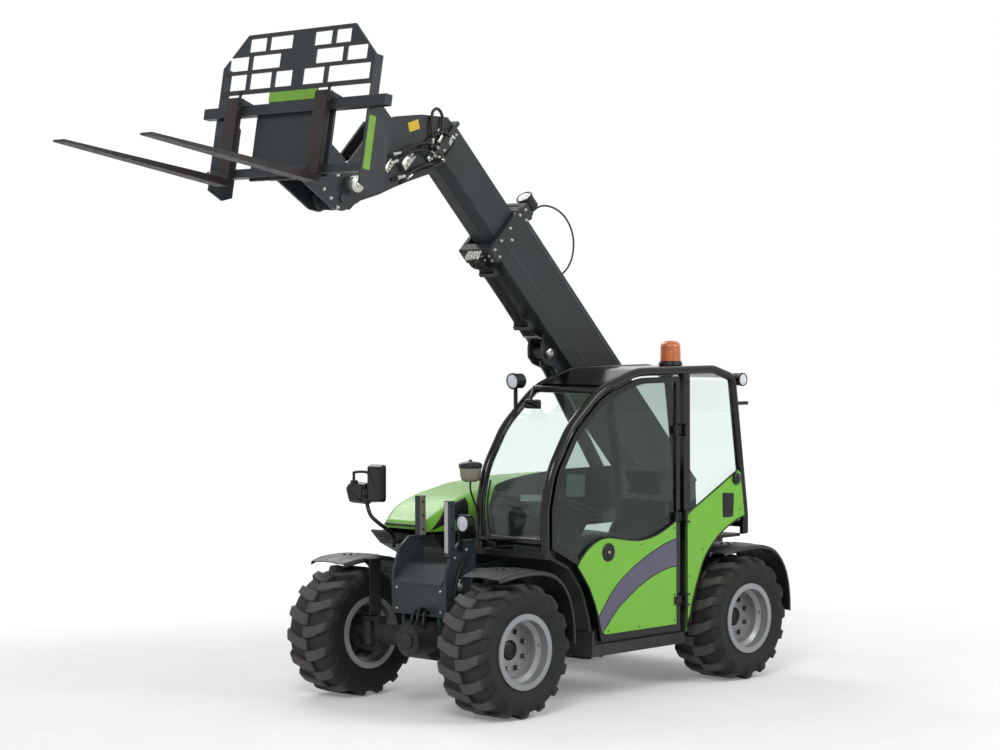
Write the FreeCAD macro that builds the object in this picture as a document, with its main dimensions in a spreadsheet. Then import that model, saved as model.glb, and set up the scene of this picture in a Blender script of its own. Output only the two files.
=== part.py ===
"""Compact telescopic loader: rigid chassis, four steered wheels, side cab, centre boom, pallet forks.

Millimetres. Every sub-part is drawn in a frame of its own, where +X is the machine's left (the cab
side), -Y is forward and +Z is up. The frames are then placed about an origin on the ground, under
the middle of the whole machine.
"""
import FreeCAD, Part
import Sketcher
import os
import re

Vector = FreeCAD.Vector
Rotation = FreeCAD.Rotation
DOC = FreeCAD.newDocument("telescopic_loader")
NODES = []

# ---------------------------------------------------------------- driving dimensions, one sheet
SIZES = {
    # wheels
    "wheelbase": 2086, "tyre_radius": 395, "tyre_width": 380, "wheel_centre": 651,
    "carcass_wall": 22, "bead_radius": 196, "bead_width": 336, "rim_width": 360,
    "flange_radius": 222, "rim_wall": 9, "well_radius": 170, "disc_offset": 50,
    "disc_wall": 12, "hub_bore": 60, "sleeve_radius": 74, "running_fit": 0.3,
    # axles and knuckles
    "kingpin_x": 500, "kingpin_radius": 20, "barrel_radius": 42, "yoke_gap": 156,
    "yoke_wall": 26, "yoke_half_depth": 42, "tube_radius": 62, "diff_radius": 118,
    "diff_width": 230, "drum_radius": 100, "spindle_radius": 45, "spindle_length": 181,
    "motor_radius": 92, "motor_length": 175,
    # fenders
    "fender_top": 467, "fender_wall": 8, "fender_width": 360, "fender_front": 200,
    "rear_fender_front": 235, "bracket_wall": 10,
    # chassis
    "frame_half": 160, "frame_wall": 20, "nose_half": 232, "nose_front": 55,
    "nose_rear": 200, "nose_top": 1000, "axle_pad": 470, "belly": 300, "channel_top": 760,
    "tail": 450, "beam_z": 340, "beam_height": 80, "beam_reach": 700, "cover_wall": 8,
    "cover_top": 835, "post_top": 1240, "counterweight_half": 250,
    # boom
    "pivot_y": 2210, "pivot_z": 1200, "boom_angle": 46, "outer_width": 240,
    "outer_height": 346, "outer_wall": 9, "outer_front": 2233, "outer_tail": 130,
    "collar_length": 92, "collar_width": 272, "collar_drop": 210, "collar_rise": 226,
    "boom_pin_radius": 35, "inner_width": 190, "inner_height": 267, "inner_wall": 8,
    "inner_sag": 8.5, "inner_start": 1150, "inner_end": 3030, "slide_gap": 0.6,
    "lug_forward": 1465, "lug_drop": 221, "lug_wall": 16, "lug_half": 64,
    # boom head and tilt hinge
    "head_half": 70, "head_wall": 18, "head_forward": 3365, "head_drop": 865,
    "tilt_pin_radius": 25, "tilt_boss_radius": 72,
    # carriage, hitch and forks
    "tilt_back": 10.3, "face_forward": 377, "side_half": 650, "bar_half": 775,
    "bar_height": 62, "bar_depth": 50, "bar_rise": 450, "rest_foot": 550, "rest_top": 902,
    "rest_half": 455, "shoulder_rise": 715, "carriage_foot": 40, "side_depth": 180,
    "plate_wall": 14, "hitch_half": 108, "hitch_wall": 18, "rest_wall": 12,
    "fork_width": 100, "fork_length": 1200, "fork_wall": 40, "fork_right_x": -480,
    "fork_left_x": 285, "fork_tip": 12,
    # lift cylinder
    "lift_pin_y": 1950, "lift_pin_z": 800, "lift_barrel_radius": 43, "lift_rod_radius": 28,
    "lift_eye_radius": 42, "lift_pin_radius": 22, "lift_barrel_length": 1060,
    "cylinder_wall": 8, "lift_eye_half": 40, "lift_rod_tail": 870,
    # tilt cylinder
    "tilt_base_forward": 3092, "tilt_base_rise": 17, "tilt_barrel_radius": 36,
    "tilt_rod_radius": 20, "tilt_eye_radius": 32, "tilt_cylinder_pin": 16,
    "tilt_barrel_length": 690, "tilt_rod_tail": 480, "tilt_eye_half": 18,
    "ear_y": -15, "ear_z": 165, "ear_wall": 14,
    # cab
    "cab_left": 750, "cab_right": 192, "hoop_radius": 28, "cab_front": 280,
    "roof_z": 1988, "cab_rear": 2165, "glass": 6, "skin": 25, "door_rear": 1490,
    "tub_wall": 20, "tub_floor": 420, "shelf_z": 930, "roof_wall": 30, "door_gap": 8,
    "hinge_x": 771, "hinge_y": 1520, "beacon_x": 466, "beacon_radius": 76,
    "reservoir_radius": 68,
    "reservoir_x": 200,
    # engine side
    "bay_outer": 752, "bay_inner": 190, "bay_wall": 14, "hood_wall": 12, "hood_nose": 225,
    "hood_rear": 1700, "hood_top": 1290, "bay_top": 1005, "engine_length": 700,
    "engine_width": 400, "engine_height": 520,
}


def make_sheet():
    sheet = DOC.addObject("Spreadsheet::Sheet", "Dim")
    for row, (alias, number) in enumerate(SIZES.items(), 1):
        sheet.set(f"A{row}", alias)
        sheet.set(f"B{row}", str(number))
        sheet.setAlias(f"B{row}", alias)
    DOC.recompute()
    return sheet


make_sheet()
PROBE = DOC.addObject("App::FeaturePython", "probe")


def dim(text):
    """Point the bare names in an expression at the sheet: 'skin / 2' becomes 'Dim.skin / 2'."""
    return re.sub(r"[a-z_]+[a-z]", lambda m: "Dim." + m[0] if m[0] in SIZES else m[0], str(text))


def value(text):
    return float(PROBE.evalExpression(dim(text)))


# ---------------------------------------------------------------- frames
def frame(x="0", y="0", z="0", axis="1; 0; 0", angle="0"):
    """A placement expression; y counts from the front axle and is moved to the shared origin."""
    base = f"vector({x}; ({y}) - ({ORIGIN_Y}); {z})"
    return dim(f"placement({base}; rotation(vector({axis}); {angle}))")


def from_pivot(forward, rise):
    """Machine y and z of a point given in the boom's frame."""
    cosine, sine = "cos(boom_angle * 1 deg)", "sin(boom_angle * 1 deg)"
    y = f"(pivot_y - ({forward}) * {cosine} + ({rise}) * {sine})"
    z = f"(pivot_z + ({forward}) * {sine} + ({rise}) * {cosine})"
    return y, z


HEAD_Y, HEAD_Z = from_pivot("head_forward", "-head_drop")
COSINE, SINE = "cos(tilt_back * 1 deg)", "sin(tilt_back * 1 deg)"
FRONT_Y = f"({HEAD_Y} - (face_forward + fork_length) * {COSINE})"
ORIGIN_Y = f"(wheelbase + tail + {FRONT_Y}) / 2"
MACHINE = frame()
BOOM = frame(y="pivot_y", z="pivot_z", angle="-boom_angle")
CARRIAGE = frame(y=HEAD_Y, z=HEAD_Z, angle="-tilt_back")
LUG_Y, LUG_Z = from_pivot("lug_forward", "-lug_drop")
LIFT_ANGLE = f"atan(({LUG_Z} - lift_pin_z) / (lift_pin_y - {LUG_Y}))"
LIFT_LENGTH = f"sqrt(({LUG_Z} - lift_pin_z)^2 + (lift_pin_y - {LUG_Y})^2)"
LIFT = frame(y=LUG_Y, z=LUG_Z, angle=f"180 deg - {LIFT_ANGLE}")
BASE_Y, BASE_Z = from_pivot("tilt_base_forward", "tilt_base_rise")
EAR_Y = f"({HEAD_Y} + ear_y * {COSINE} + ear_z * {SINE})"
EAR_Z = f"({HEAD_Z} - ear_y * {SINE} + ear_z * {COSINE})"
TILT_ANGLE = f"atan(({EAR_Z} - {BASE_Z}) / ({BASE_Y} - {EAR_Y}))"
TILT_LENGTH = f"sqrt(({EAR_Z} - {BASE_Z})^2 + ({BASE_Y} - {EAR_Y})^2)"
TILT = frame(y=BASE_Y, z=BASE_Z, angle=f"-{TILT_ANGLE}")
CORNERS = {"front_left": (1, "0"), "front_right": (-1, "0"),
           "rear_left": (1, "wheelbase"), "rear_right": (-1, "wheelbase")}


# ---------------------------------------------------------------- drawing helpers
def plane_of(body, role):
    return [item for item in body.Origin.OriginFeatures if item.Role == role][0]


def bind(sketch, constraint, name, text):
    index = sketch.addConstraint(constraint)
    sketch.renameConstraint(index, name)
    sketch.setExpression("Constraints." + name, dim(text))


def outline(body, name, role, points, offset="0", rounds=None, closed=True):
    """A sketch of straight sides whose corners are bound to the sheet, some of them rounded."""
    sketch = body.newObject("Sketcher::SketchObject", name)
    sketch.AttachmentSupport = [(plane_of(body, role), "")]
    sketch.MapMode = "FlatFace"
    sketch.setExpression("AttachmentOffset.Base.z", dim(offset))
    spots = [Vector(value(a), value(b), 0) for a, b in points]
    sides = len(spots) if closed else len(spots) - 1
    for side in range(sides):
        sketch.addGeometry(Part.LineSegment(spots[side], spots[(side + 1) % len(spots)]), False)
    for side in range(sides if closed else sides - 1):
        sketch.addConstraint(Sketcher.Constraint("Coincident", side, 2, (side + 1) % sides, 1))
    corners = {index: (index, 1) for index in range(sides)}
    if not closed:
        corners[sides] = (sides - 1, 2)
    arcs = []
    for corner, radius in (rounds or {}).items():
        sketch.fillet((corner - 1) % sides, 2, value(radius), True, True)
        arcs.append((len(sketch.Geometry) - 2, radius))
        corners[corner] = (len(sketch.Geometry) - 1, 1)
    for corner, (shape, end) in corners.items():
        for kind, place, text in zip(("DistanceX", "DistanceY"), spots[corner], points[corner]):
            bind(sketch, Sketcher.Constraint(kind, -1, 1, shape, end, place), f"{kind}{corner}", text)
    for arc, radius in arcs:
        bind(sketch, Sketcher.Constraint("Radius", arc, value(radius)), f"Radius{arc}", radius)
    return sketch


def prism(name, points, start, depth, rounds=None, role="YZ_Plane"):
    """A plate: an outline drawn across `role` at `start`, thickened by `depth`."""
    body = DOC.addObject("PartDesign::Body", name)
    sketch = outline(body, name + "_outline", role, points, start, rounds)
    pad = body.newObject("PartDesign::Pad", name + "_pad")
    pad.Profile = sketch
    pad.setExpression("Length", dim(depth))
    body.Tip = pad
    return body


def turned(name, points, rounds=None):
    """A body turned about the X axis from (x, radius) points."""
    body = DOC.addObject("PartDesign::Body", name)
    sketch = outline(body, name + "_outline", "XY_Plane", points, "0", rounds)
    turn = body.newObject("PartDesign::Revolution", name + "_turn")
    turn.Profile = sketch
    turn.ReferenceAxis = (sketch, ["H_Axis"])
    turn.Angle = 360
    body.Tip = turn
    return body


def tube_along(name, path, radius, x, rounds):
    """A round tube along a path in a plane of constant x; its first run points straight up."""
    body = DOC.addObject("PartDesign::Body", name)
    spine = outline(body, name + "_path", "YZ_Plane", path, x, rounds, closed=False)
    ring = body.newObject("Sketcher::SketchObject", name + "_ring")
    ring.AttachmentSupport = [(plane_of(body, "XY_Plane"), "")]
    ring.MapMode = "FlatFace"
    for key, text in zip("xyz", (x, path[0][0], path[0][1])):
        ring.setExpression("AttachmentOffset.Base." + key, dim(text))
    ring.addGeometry(Part.Circle(Vector(0, 0, 0), Vector(0, 0, 1), value(radius)), False)
    ring.addConstraint(Sketcher.Constraint("Coincident", 0, 3, -1, 1))
    bind(ring, Sketcher.Constraint("Radius", 0, value(radius)), "Radius", radius)
    DOC.recompute()
    pipe = body.newObject("PartDesign::AdditivePipe", name + "_pipe")
    pipe.Profile = ring
    pipe.Spine = (spine, [f"Edge{n + 1}" for n in range(len(spine.Shape.Edges))])
    body.Tip = pipe
    return body


def box(name, low, size):
    solid = DOC.addObject("Part::Box", name)
    for key, text in zip(("Length", "Width", "Height"), size):
        solid.setExpression(key, dim(text))
    for key, text in zip("xyz", low):
        solid.setExpression("Placement.Base." + key, dim(text))
    return solid


TURNS = {"x": Rotation(Vector(0, 1, 0), 90), "y": Rotation(Vector(1, 0, 0), 90), "z": Rotation()}


def rod(name, axis, start, radius, length):
    """A cylinder from `start` along +X, -Y or +Z."""
    solid = DOC.addObject("Part::Cylinder", name)
    solid.Placement = FreeCAD.Placement(Vector(), TURNS[axis])
    solid.setExpression("Radius", dim(radius))
    solid.setExpression("Height", dim(length))
    for key, text in zip("xyz", start):
        solid.setExpression("Placement.Base." + key, dim(text))
    return solid


def cross_rod(name, y, z, radius, half):
    """A cylinder across the machine, as far to the right as to the left."""
    return rod(name, "x", (f"-({half})", y, z), radius, f"2 * ({half})")


def fuse(name, *solids):
    if len(solids) == 1:
        return solids[0]
    union = DOC.addObject("Part::MultiFuse", name)
    union.Shapes = list(solids)
    union.Refine = True
    return union


def cut(name, base, *tools):
    result = DOC.addObject("Part::Cut", name)
    result.Base = base
    result.Tool = fuse(name + "_tools", *tools)
    result.Refine = True
    return result


def group(name, *solids):
    """Separate solids that share a node."""
    joined = DOC.addObject("Part::Compound", name)
    joined.Links = list(solids)
    return joined


def node(label, solid, placement):
    solid.setExpression("Placement", placement)
    solid.Label = label
    NODES.append(solid)
    return solid


def both_sides(name, points, outer, wall, rounds=None):
    """A pair of like plates, `outer` from the middle plane to their outer faces."""
    left = prism(name + "_left", points, f"{outer} - {wall}", wall, rounds)
    right = prism(name + "_right", points, f"-({outer})", wall, rounds)
    return [left, right]


def band(run, wall, rounds=None):
    """Thicken an open run of points to its right; returns the closed outline and its roundings."""
    spots = [Vector(value(a), value(b), 0) for a, b in run]
    ways = [(spots[n + 1] - spots[n]).normalize() for n in range(len(spots) - 1)]
    sides = [Vector(way.y, -way.x, 0) for way in ways]
    steps = []
    for n in range(len(spots)):
        first, second = sides[max(n - 1, 0)], sides[min(n, len(sides) - 1)]
        steps.append((first + second) * (1 / (1 + first.dot(second))))
    inner = [(f"({a}) + {s.x:.5f} * {wall}", f"({b}) + {s.y:.5f} * {wall}")
             for (a, b), s in zip(run, steps)]
    corners = dict(rounds or {})
    for corner, radius in (rounds or {}).items():
        turn = ways[corner - 1].cross(ways[corner]).z
        corners[2 * len(run) - 1 - corner] = f"({radius}) {'+' if turn > 0 else '-'} {wall}"
    return list(run) + inner[::-1], corners


def sheet_band(name, run, wall, start, depth, rounds=None):
    """Plate bent along an open run of (y, z) points."""
    points, corners = band(run, wall, rounds)
    return prism(name, points, start, depth, corners)


def inset(run, gap, rounds):
    """The same open run, stepped to its right by `gap`."""
    points, corners = band(run, gap, rounds)
    last = 2 * len(run) - 1
    return points[len(run):][::-1], {corner: corners[last - corner] for corner in rounds}


def mirrored(run):
    """An (x, radius) run continued with its mirror image about x = 0."""
    return list(run) + [(f"-({a})", b) for a, b in reversed(run)]


# ---------------------------------------------------------------- wheels
def make_tyre(name):
    wall = "carcass_wall"
    outer = [
        ("-bead_width / 2", "bead_radius + running_fit"), ("-bead_width / 2", "flange_radius + 5"),
        ("16 - tyre_width / 2", "bead_radius + 50"), ("-tyre_width / 2", "tyre_radius * 0.77"),
        ("6 - tyre_width / 2", "tyre_radius - 42"), ("32 - tyre_width / 2", "tyre_radius"),
    ]
    inner = [
        ("tyre_width / 2 - 46", f"tyre_radius - {wall}"),
        (f"tyre_width / 2 - {wall}", "tyre_radius * 0.77"),
        (f"bead_width / 2 - {wall}", "flange_radius + 6"),
        (f"bead_width / 2 - {wall}", "bead_radius + running_fit"),
    ]
    flip = [(f"-({a})", b) for a, b in reversed(inner)]
    return turned(name, mirrored(outer) + inner[::-1] + flip[::-1],
                  {3: "40", 5: "22", 6: "22", 8: "40"})


def make_rim(name):
    wall, half = "rim_wall", "rim_width / 2"
    outer = [
        (half, "flange_radius"), (f"{half} - 10", "flange_radius"), (f"{half} - 10", "bead_radius"),
        (f"{half} - 60", "bead_radius"), (f"{half} - 80", "well_radius"),
    ]
    inside = [
        (f"-{half}", f"bead_radius - {wall}"), (f"56 - {half}", f"bead_radius - {wall}"),
        (f"76 - {half}", f"well_radius - {wall}"),
        ("disc_offset - disc_wall", f"well_radius - {wall}"),
        ("disc_offset - disc_wall", "sleeve_radius"), ("-57", "sleeve_radius"),
        ("-57", "spindle_radius + running_fit"), ("disc_offset - 14", "spindle_radius + running_fit"),
        ("disc_offset - 14", "hub_bore"), ("disc_offset", "hub_bore"),
        ("disc_offset", f"well_radius - {wall}"), (f"{half} - 76", f"well_radius - {wall}"),
        (f"{half} - 56", f"bead_radius - {wall}"), (half, f"bead_radius - {wall}"),
    ]
    return turned(name, mirrored(outer) + inside)


def make_knuckle(name):
    barrel = rod(name + "_barrel", "z", ("0", "0", "3 - yoke_gap / 2"), "barrel_radius",
                 "yoke_gap - 6")
    kingpin = rod(name + "_kingpin", "z", ("0", "0", "-112"), "kingpin_radius", "230")
    drum = rod(name + "_drum", "x", ("62", "0", "0"), "drum_radius", "26")
    spindle = rod(name + "_spindle", "x", ("0", "0", "0"), "spindle_radius", "spindle_length")
    low = box(name + "_cap", ("-66", "-45", "112"), ("90", "90", "bracket_wall"))
    tall = box(name + "_stay", ("-66", "-45", "112"),
               ("bracket_wall", "90", "fender_top - fender_wall - 112"))
    top = box(name + "_shelf", ("-66", "-45", "fender_top - fender_wall - bracket_wall"),
              ("220", "90", "bracket_wall"))
    return fuse(name, barrel, kingpin, drum, spindle, low, tall, top)


def make_fender(name, side, front):
    run = [
        (f"-{front}", "fender_top - 27"), ("-90", "fender_top"), ("90", "fender_top"),
        ("262", "fender_top - 34"), ("384", "fender_top - 158"), ("436", "fender_top - 330"),
        ("442", "8"),
    ]
    start = "-25" if side > 0 else "25 - fender_width"
    return sheet_band(name, run, "fender_wall", start, "fender_width",
                      {3: "160", 4: "160", 5: "160"})


def make_axle(name, driven):
    tube = cross_rod(name + "_tube", "0", "0", "tube_radius", "kingpin_x - 118")
    middle = cross_rod(name + "_middle", "0", "0", "diff_radius", "diff_width / 2")
    solids = [tube, middle]
    pins = []
    for side, sign in (("left", 1), ("right", -1)):
        start = "kingpin_x - 120" if sign > 0 else "-(kingpin_x + 22)"
        web = "kingpin_x - 120" if sign > 0 else "96 - kingpin_x"
        pad = "118" if sign > 0 else "-202"
        size = ("142", "2 * yoke_half_depth", "yoke_wall")
        depth = "-yoke_half_depth"
        solids.append(box(f"{name}_upper_{side}", (start, depth, "yoke_gap / 2"), size))
        solids.append(box(f"{name}_lower_{side}", (start, depth, "-yoke_gap / 2 - yoke_wall"), size))
        solids.append(box(f"{name}_web_{side}", (web, depth, "-yoke_gap / 2 - yoke_wall"),
                          ("24", "2 * yoke_half_depth", "yoke_gap + 2 * yoke_wall")))
        solids.append(box(f"{name}_pad_{side}", (pad, "-55", "30"),
                          ("84", "110", "axle_pad - tyre_radius - 30")))
        pins.append(rod(f"{name}_bore_{side}", "z", (f"{sign} * kingpin_x", "0", "-200"),
                        "kingpin_radius + running_fit", "400"))
    if driven:
        solids.append(rod(name + "_motor", "y", ("90", "-60", "20"), "motor_radius", "motor_length"))
    return cut(name, fuse(name + "_whole", *solids), *pins)


def make_running_gear():
    for corner, (side, y) in CORNERS.items():
        turn = "0" if side > 0 else "180"
        wheel = frame(f"{side} * wheel_centre", y, "tyre_radius", "0; 0; 1", turn)
        hub = frame(f"{side} * kingpin_x", y, "tyre_radius", "0; 0; 1", turn)
        level = frame(f"{side} * kingpin_x", y, "tyre_radius")
        front = "fender_front" if corner.startswith("front") else "rear_fender_front"
        node("tyre_" + corner, make_tyre("tyre_" + corner + "_solid"), wheel)
        node("rim_" + corner, make_rim("rim_" + corner + "_solid"), wheel)
        node("knuckle_" + corner, make_knuckle("knuckle_" + corner + "_solid"), hub)
        node("fender_" + corner, make_fender("fender_" + corner + "_solid", side, front), level)
    node("front_axle", make_axle("front_axle_solid", True), frame(z="tyre_radius"))
    node("rear_axle", make_axle("rear_axle_solid", False), frame(y="wheelbase", z="tyre_radius"))


# ---------------------------------------------------------------- chassis
def make_chassis():
    side = [
        ("-40", "axle_pad"), ("100", "axle_pad"), ("210", "belly"), ("wheelbase - 220", "belly"),
        ("wheelbase - 110", "axle_pad"), ("wheelbase + tail - 140", "axle_pad"),
        ("pivot_y + 150", "pivot_z + 50"), ("pivot_y + 70", "pivot_z + 110"),
        ("pivot_y - 70", "pivot_z + 110"), ("pivot_y - 150", "pivot_z + 40"),
        ("lift_pin_y - 130", "lift_pin_z + 60"), ("nose_rear", "channel_top"), ("-40", "channel_top - 60"),
    ]
    nose = [
        ("-nose_front", "belly + 240"), ("nose_rear", "belly + 240"), ("nose_rear", "nose_top"),
        ("80", "nose_top"), ("0", "nose_top - 60"), ("-nose_front", "nose_top - 200"),
    ]
    plates = both_sides("side_plate", side, "frame_half", "frame_wall",
                        {7: "60", 8: "60"})
    plates += both_sides("nose_plate", nose, "nose_half", "frame_wall", {4: "60", 5: "60"})
    inside = "2 * (frame_half - frame_wall)"
    plates.append(box("belly_plate", ("frame_wall - frame_half", "210", "belly"),
                      (inside, "wheelbase - 430", "16")))
    plates.append(box("nose_wall", ("-nose_half", "130", "axle_pad"),
                      ("2 * nose_half", "20", "cover_top - axle_pad")))
    plates.append(box("rear_wall", ("-frame_half", "pivot_y + 160", "axle_pad"),
                      ("2 * frame_half", "20", "pivot_z - 260 - axle_pad")))
    for name, y in (("front", "690"), ("rear", "1400")):
        plates.append(box(f"{name}_beam", ("-beam_reach", y, "beam_z"),
                          ("2 * beam_reach", "80", "beam_height")))
    plates.append(box("left_post", ("nose_half - 32", "-35", "nose_top - 90"),
                      ("42", "50", "post_top - nose_top + 90")))
    plates.append(box("right_post", ("-nose_half", "nose_rear - 55", "nose_top - 10"),
                      ("42", "50", "post_top - nose_top + 10")))
    for name, boss, pin in (("left", "lift_eye_half + 10", "lift_eye_half + 4"),
                            ("right", "2 - frame_half", "-frame_half - 8")):
        plates.append(rod(f"lift_boss_{name}", "x", (boss, "lift_pin_y", "lift_pin_z"),
                          "lift_eye_radius - 6", "frame_half - lift_eye_half - 12"))
        plates.append(rod(f"lift_pin_{name}", "x", (pin, "lift_pin_y", "lift_pin_z"),
                          "lift_pin_radius", "frame_half - lift_eye_half + 4"))
    plates.append(cross_rod("boom_pin", "pivot_y", "pivot_z", "boom_pin_radius", "frame_half + 2"))
    return fuse("chassis", *plates)


def make_front_cover():
    run = [("-nose_front", "belly + 245"), ("-nose_front", "740"), ("40", "cover_top"),
           ("130", "cover_top")]
    start = "frame_wall - nose_half + 1"
    return sheet_band("front_cover_solid", run, "cover_wall", start,
                      "2 * (nose_half - frame_wall - 1)", {1: "40", 2: "30"})


def make_counterweight():
    points = [
        ("wheelbase + tail - 140", "axle_pad"), ("wheelbase + tail - 40", "axle_pad"),
        ("wheelbase + tail", "axle_pad + 60"), ("wheelbase + tail", "pivot_z - 320"),
        ("wheelbase + tail - 50", "pivot_z - 270"), ("wheelbase + tail - 140", "pivot_z - 270"),
    ]
    return prism("counterweight_solid", points, "-counterweight_half", "2 * counterweight_half")


# ---------------------------------------------------------------- boom
def make_outer_boom():
    half, rise = "outer_width / 2", "outer_height / 2"
    length = "outer_front + outer_tail"
    skin = box("outer_skin", (f"-{half}", "-outer_front", f"-{rise}"),
               ("outer_width", length, "outer_height"))
    collar = box("collar_block", ("-collar_width / 2", "-outer_front - collar_length", "-collar_drop"),
                 ("collar_width", "collar_length", "collar_drop + collar_rise"))
    lug = [
        ("-lug_forward - 66", "-lug_drop - 20"), ("-lug_forward - 20", "-lug_drop - 62"),
        ("-lug_forward + 40", "-lug_drop - 62"), ("-lug_forward + 260", f"2 - {rise}"),
        ("-lug_forward - 110", f"2 - {rise}"),
    ]
    lugs = both_sides("lift_lug", lug, "lug_half", "lug_wall", {1: "30", 2: "40"})
    pin = cross_rod("lug_pin", "-lug_forward", "-lug_drop", "lift_pin_radius", "lug_half + 8")
    tail = cross_rod("boom_boss", "0", "0", "boom_pin_radius + 28", "outer_width / 2 + 12")
    whole = fuse("outer_whole", skin, collar, tail, *lugs, pin)
    hollow = box("outer_hollow", (f"outer_wall - {half}", "-outer_front - 1", f"outer_wall - {rise}"),
                 ("outer_width - 2 * outer_wall", f"{length} + 2", "outer_height - 2 * outer_wall"))
    mouth = box("collar_mouth", ("-inner_width / 2 - slide_gap", "-outer_front - collar_length - 1",
                                 "-inner_height / 2 - inner_sag - slide_gap"),
                ("inner_width + 2 * slide_gap", "collar_length + 2",
                 "inner_height + 2 * slide_gap + 78"))
    bore = cross_rod("boom_bore", "0", "0", "boom_pin_radius + running_fit", "outer_width")
    return cut("boom_outer_solid", whole, hollow, mouth, bore)


def make_boom_lines():
    """Steel pipes slung under the boom between two clamps."""
    pipes = [rod(f"line_{n}", "y", (f"{22 * n - 44}", "-1610", "-215"), "8", "560") for n in range(5)]
    clamps = [box(f"line_clamp_{n}", ("-60", f"-{place}", "-230"),
                  ("120", "24", "230 - outer_height / 2")) for n, place in enumerate((1700, 2150))]
    return fuse("boom_lines_solid", *pipes, *clamps)


def inner_section(grow):
    """The inner boom's octagon-footed section, pulled in by `grow`."""
    top = f"inner_height / 2 - inner_sag - {grow}"
    low = f"{grow} - inner_height / 2 - inner_sag"
    half, cut_back = f"(inner_width / 2 - {grow})", f"(50 - 0.4 * {grow})"
    return [(f"-{half}", top), (half, top), (half, f"{low} + {cut_back}"),
            (f"{half} - {cut_back}", low), (f"{cut_back} - {half}", low),
            (f"-{half}", f"{low} + {cut_back}")]


def make_inner_boom():
    length = "inner_end - inner_start"
    skin = prism("inner_skin", inner_section("0"), "inner_start", length, None, "XZ_Plane")
    hollow = prism("inner_hollow", inner_section("inner_wall"), "inner_start - 1",
                   f"{length} + 2", None, "XZ_Plane")
    strip = box("wear_strip", ("-60", "-inner_end", "inner_height / 2 - inner_sag"),
                ("120", "inner_end - inner_start - 700", "16"))
    return fuse("boom_inner_solid", cut("inner_tube", skin, hollow), strip)


def make_head():
    side = [
        ("-inner_end - 24", "132"), ("-inner_end - 80", "130"), ("-3268", "-25"), ("-3395", "-187"),
        ("-3468", "-307"), ("-head_forward - 85", "-head_drop + 90"),
        ("-head_forward - 62", "-head_drop - 40"), ("-head_forward + 20", "-head_drop - 72"),
        ("-3256", "-845"), ("-3247", "-743"), ("-3172", "-607"), ("-3121", "-489"),
        ("-3066", "-376"), ("-2962", "-204"), ("-inner_end - 24", "-160"),
    ]
    plates = both_sides("head_plate", side, "head_half", "head_wall")
    plates.append(box("head_flange", ("-inner_width / 2 - 4", "-inner_end - 24", "-160"),
                      ("inner_width + 8", "24", "318")))
    back = [("-2975", "-204"), ("-3066", "-376"), ("-3121", "-489"), ("-3172", "-607"),
            ("-3247", "-743"), ("-3256", "-780")]
    plates.append(sheet_band("head_belly", back[::-1], "12", "2 - head_half", "2 * head_half - 4"))
    crown = [("-inner_end - 24", "131"), ("-inner_end - 80", "129"), ("-3268", "-26"),
             ("-3330", "-104")]
    plates.append(sheet_band("head_crown", crown[::-1], "12", "2 - head_half", "2 * head_half - 4"))
    for name, start in (("left", "head_half - head_wall"), ("right", "-hitch_half + 19")):
        plates.append(rod(f"head_boss_{name}", "x", (start, "-head_forward", "-head_drop"),
                          "tilt_boss_radius - 8", "hitch_half - head_half + head_wall - 19"))
    plates.append(cross_rod("tilt_pin", "-head_forward", "-head_drop", "tilt_pin_radius",
                            "hitch_half + 10"))
    plates.append(cross_rod("tilt_base_pin", "-tilt_base_forward", "tilt_base_rise",
                            "tilt_cylinder_pin", "head_half + 4"))
    return fuse("boom_head_solid", *plates)


def make_cylinder(name, eye_radius, eye_half, pin, barrel_radius, barrel_length, rod_radius):
    """A barrel about -Y with its eye at the origin, open for the rod at its far end."""
    skin = rod(name + "_skin", "y", ("0", f"8 - {eye_radius}", "0"), barrel_radius,
               f"{barrel_length} + 8 - {eye_radius}")
    eye = cross_rod(name + "_eye", "0", "0", eye_radius, eye_half)
    bore = rod(name + "_bore", "y", ("0", f"-{eye_radius} - 22", "0"),
               f"{barrel_radius} - cylinder_wall", f"{barrel_length} - {eye_radius} - 46")
    mouth = rod(name + "_mouth", "y", ("0", "-60", "0"), f"{rod_radius} + running_fit",
                f"{barrel_length}")
    pin_bore = cross_rod(name + "_pin_bore", "0", "0", f"{pin} + running_fit", f"{eye_half} + 5")
    return cut(name, fuse(name + "_whole", skin, eye), bore, mouth, pin_bore)


def make_piston(name, length, tail, eye_radius, eye_half, rod_radius, barrel_radius):
    """A rod about -Y, its eye `length` from the origin, its piston `tail` behind that eye."""
    shaft = rod(name + "_shaft", "y", ("0", f"{tail} - {length}", "0"), rod_radius,
                f"{tail} - {eye_radius} * 0.6")
    eye = cross_rod(name + "_eye", f"-{length}", "0", eye_radius, eye_half)
    head = rod(name + "_piston", "y", ("0", f"{tail} - {length}", "0"),
               f"{barrel_radius} - cylinder_wall - running_fit", "30")
    return fuse(name, shaft, eye, head)


def make_lamp_hose():
    path = [("-2155", "outer_height / 2 + 124.3"), ("-2155", "390"), ("-2065", "490"), ("-1930", "545"),
            ("-1790", "520"), ("-1700", "430"), ("-1672", "330"), ("-1690", "240"),
            ("-1700", "outer_height / 2 + 0.3")]
    return tube_along("lamp_hose_solid", path, "6", "0",
                      {1: "60", 2: "90", 3: "120", 4: "100", 5: "80", 6: "80", 7: "60"})


def make_boom_lamp():
    post = box("lamp_post", ("-14", "-2230", "outer_height / 2"), ("28", "60", "110"))
    arm = box("lamp_arm", ("-20", "-2250", "outer_height / 2 + 100"), ("40", "110", "24"))
    bowl = rod("lamp_bowl", "y", ("0", "-2180", "outer_height / 2 + 172"), "50", "84")
    return fuse("boom_lamp_solid", post, arm, bowl)


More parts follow.
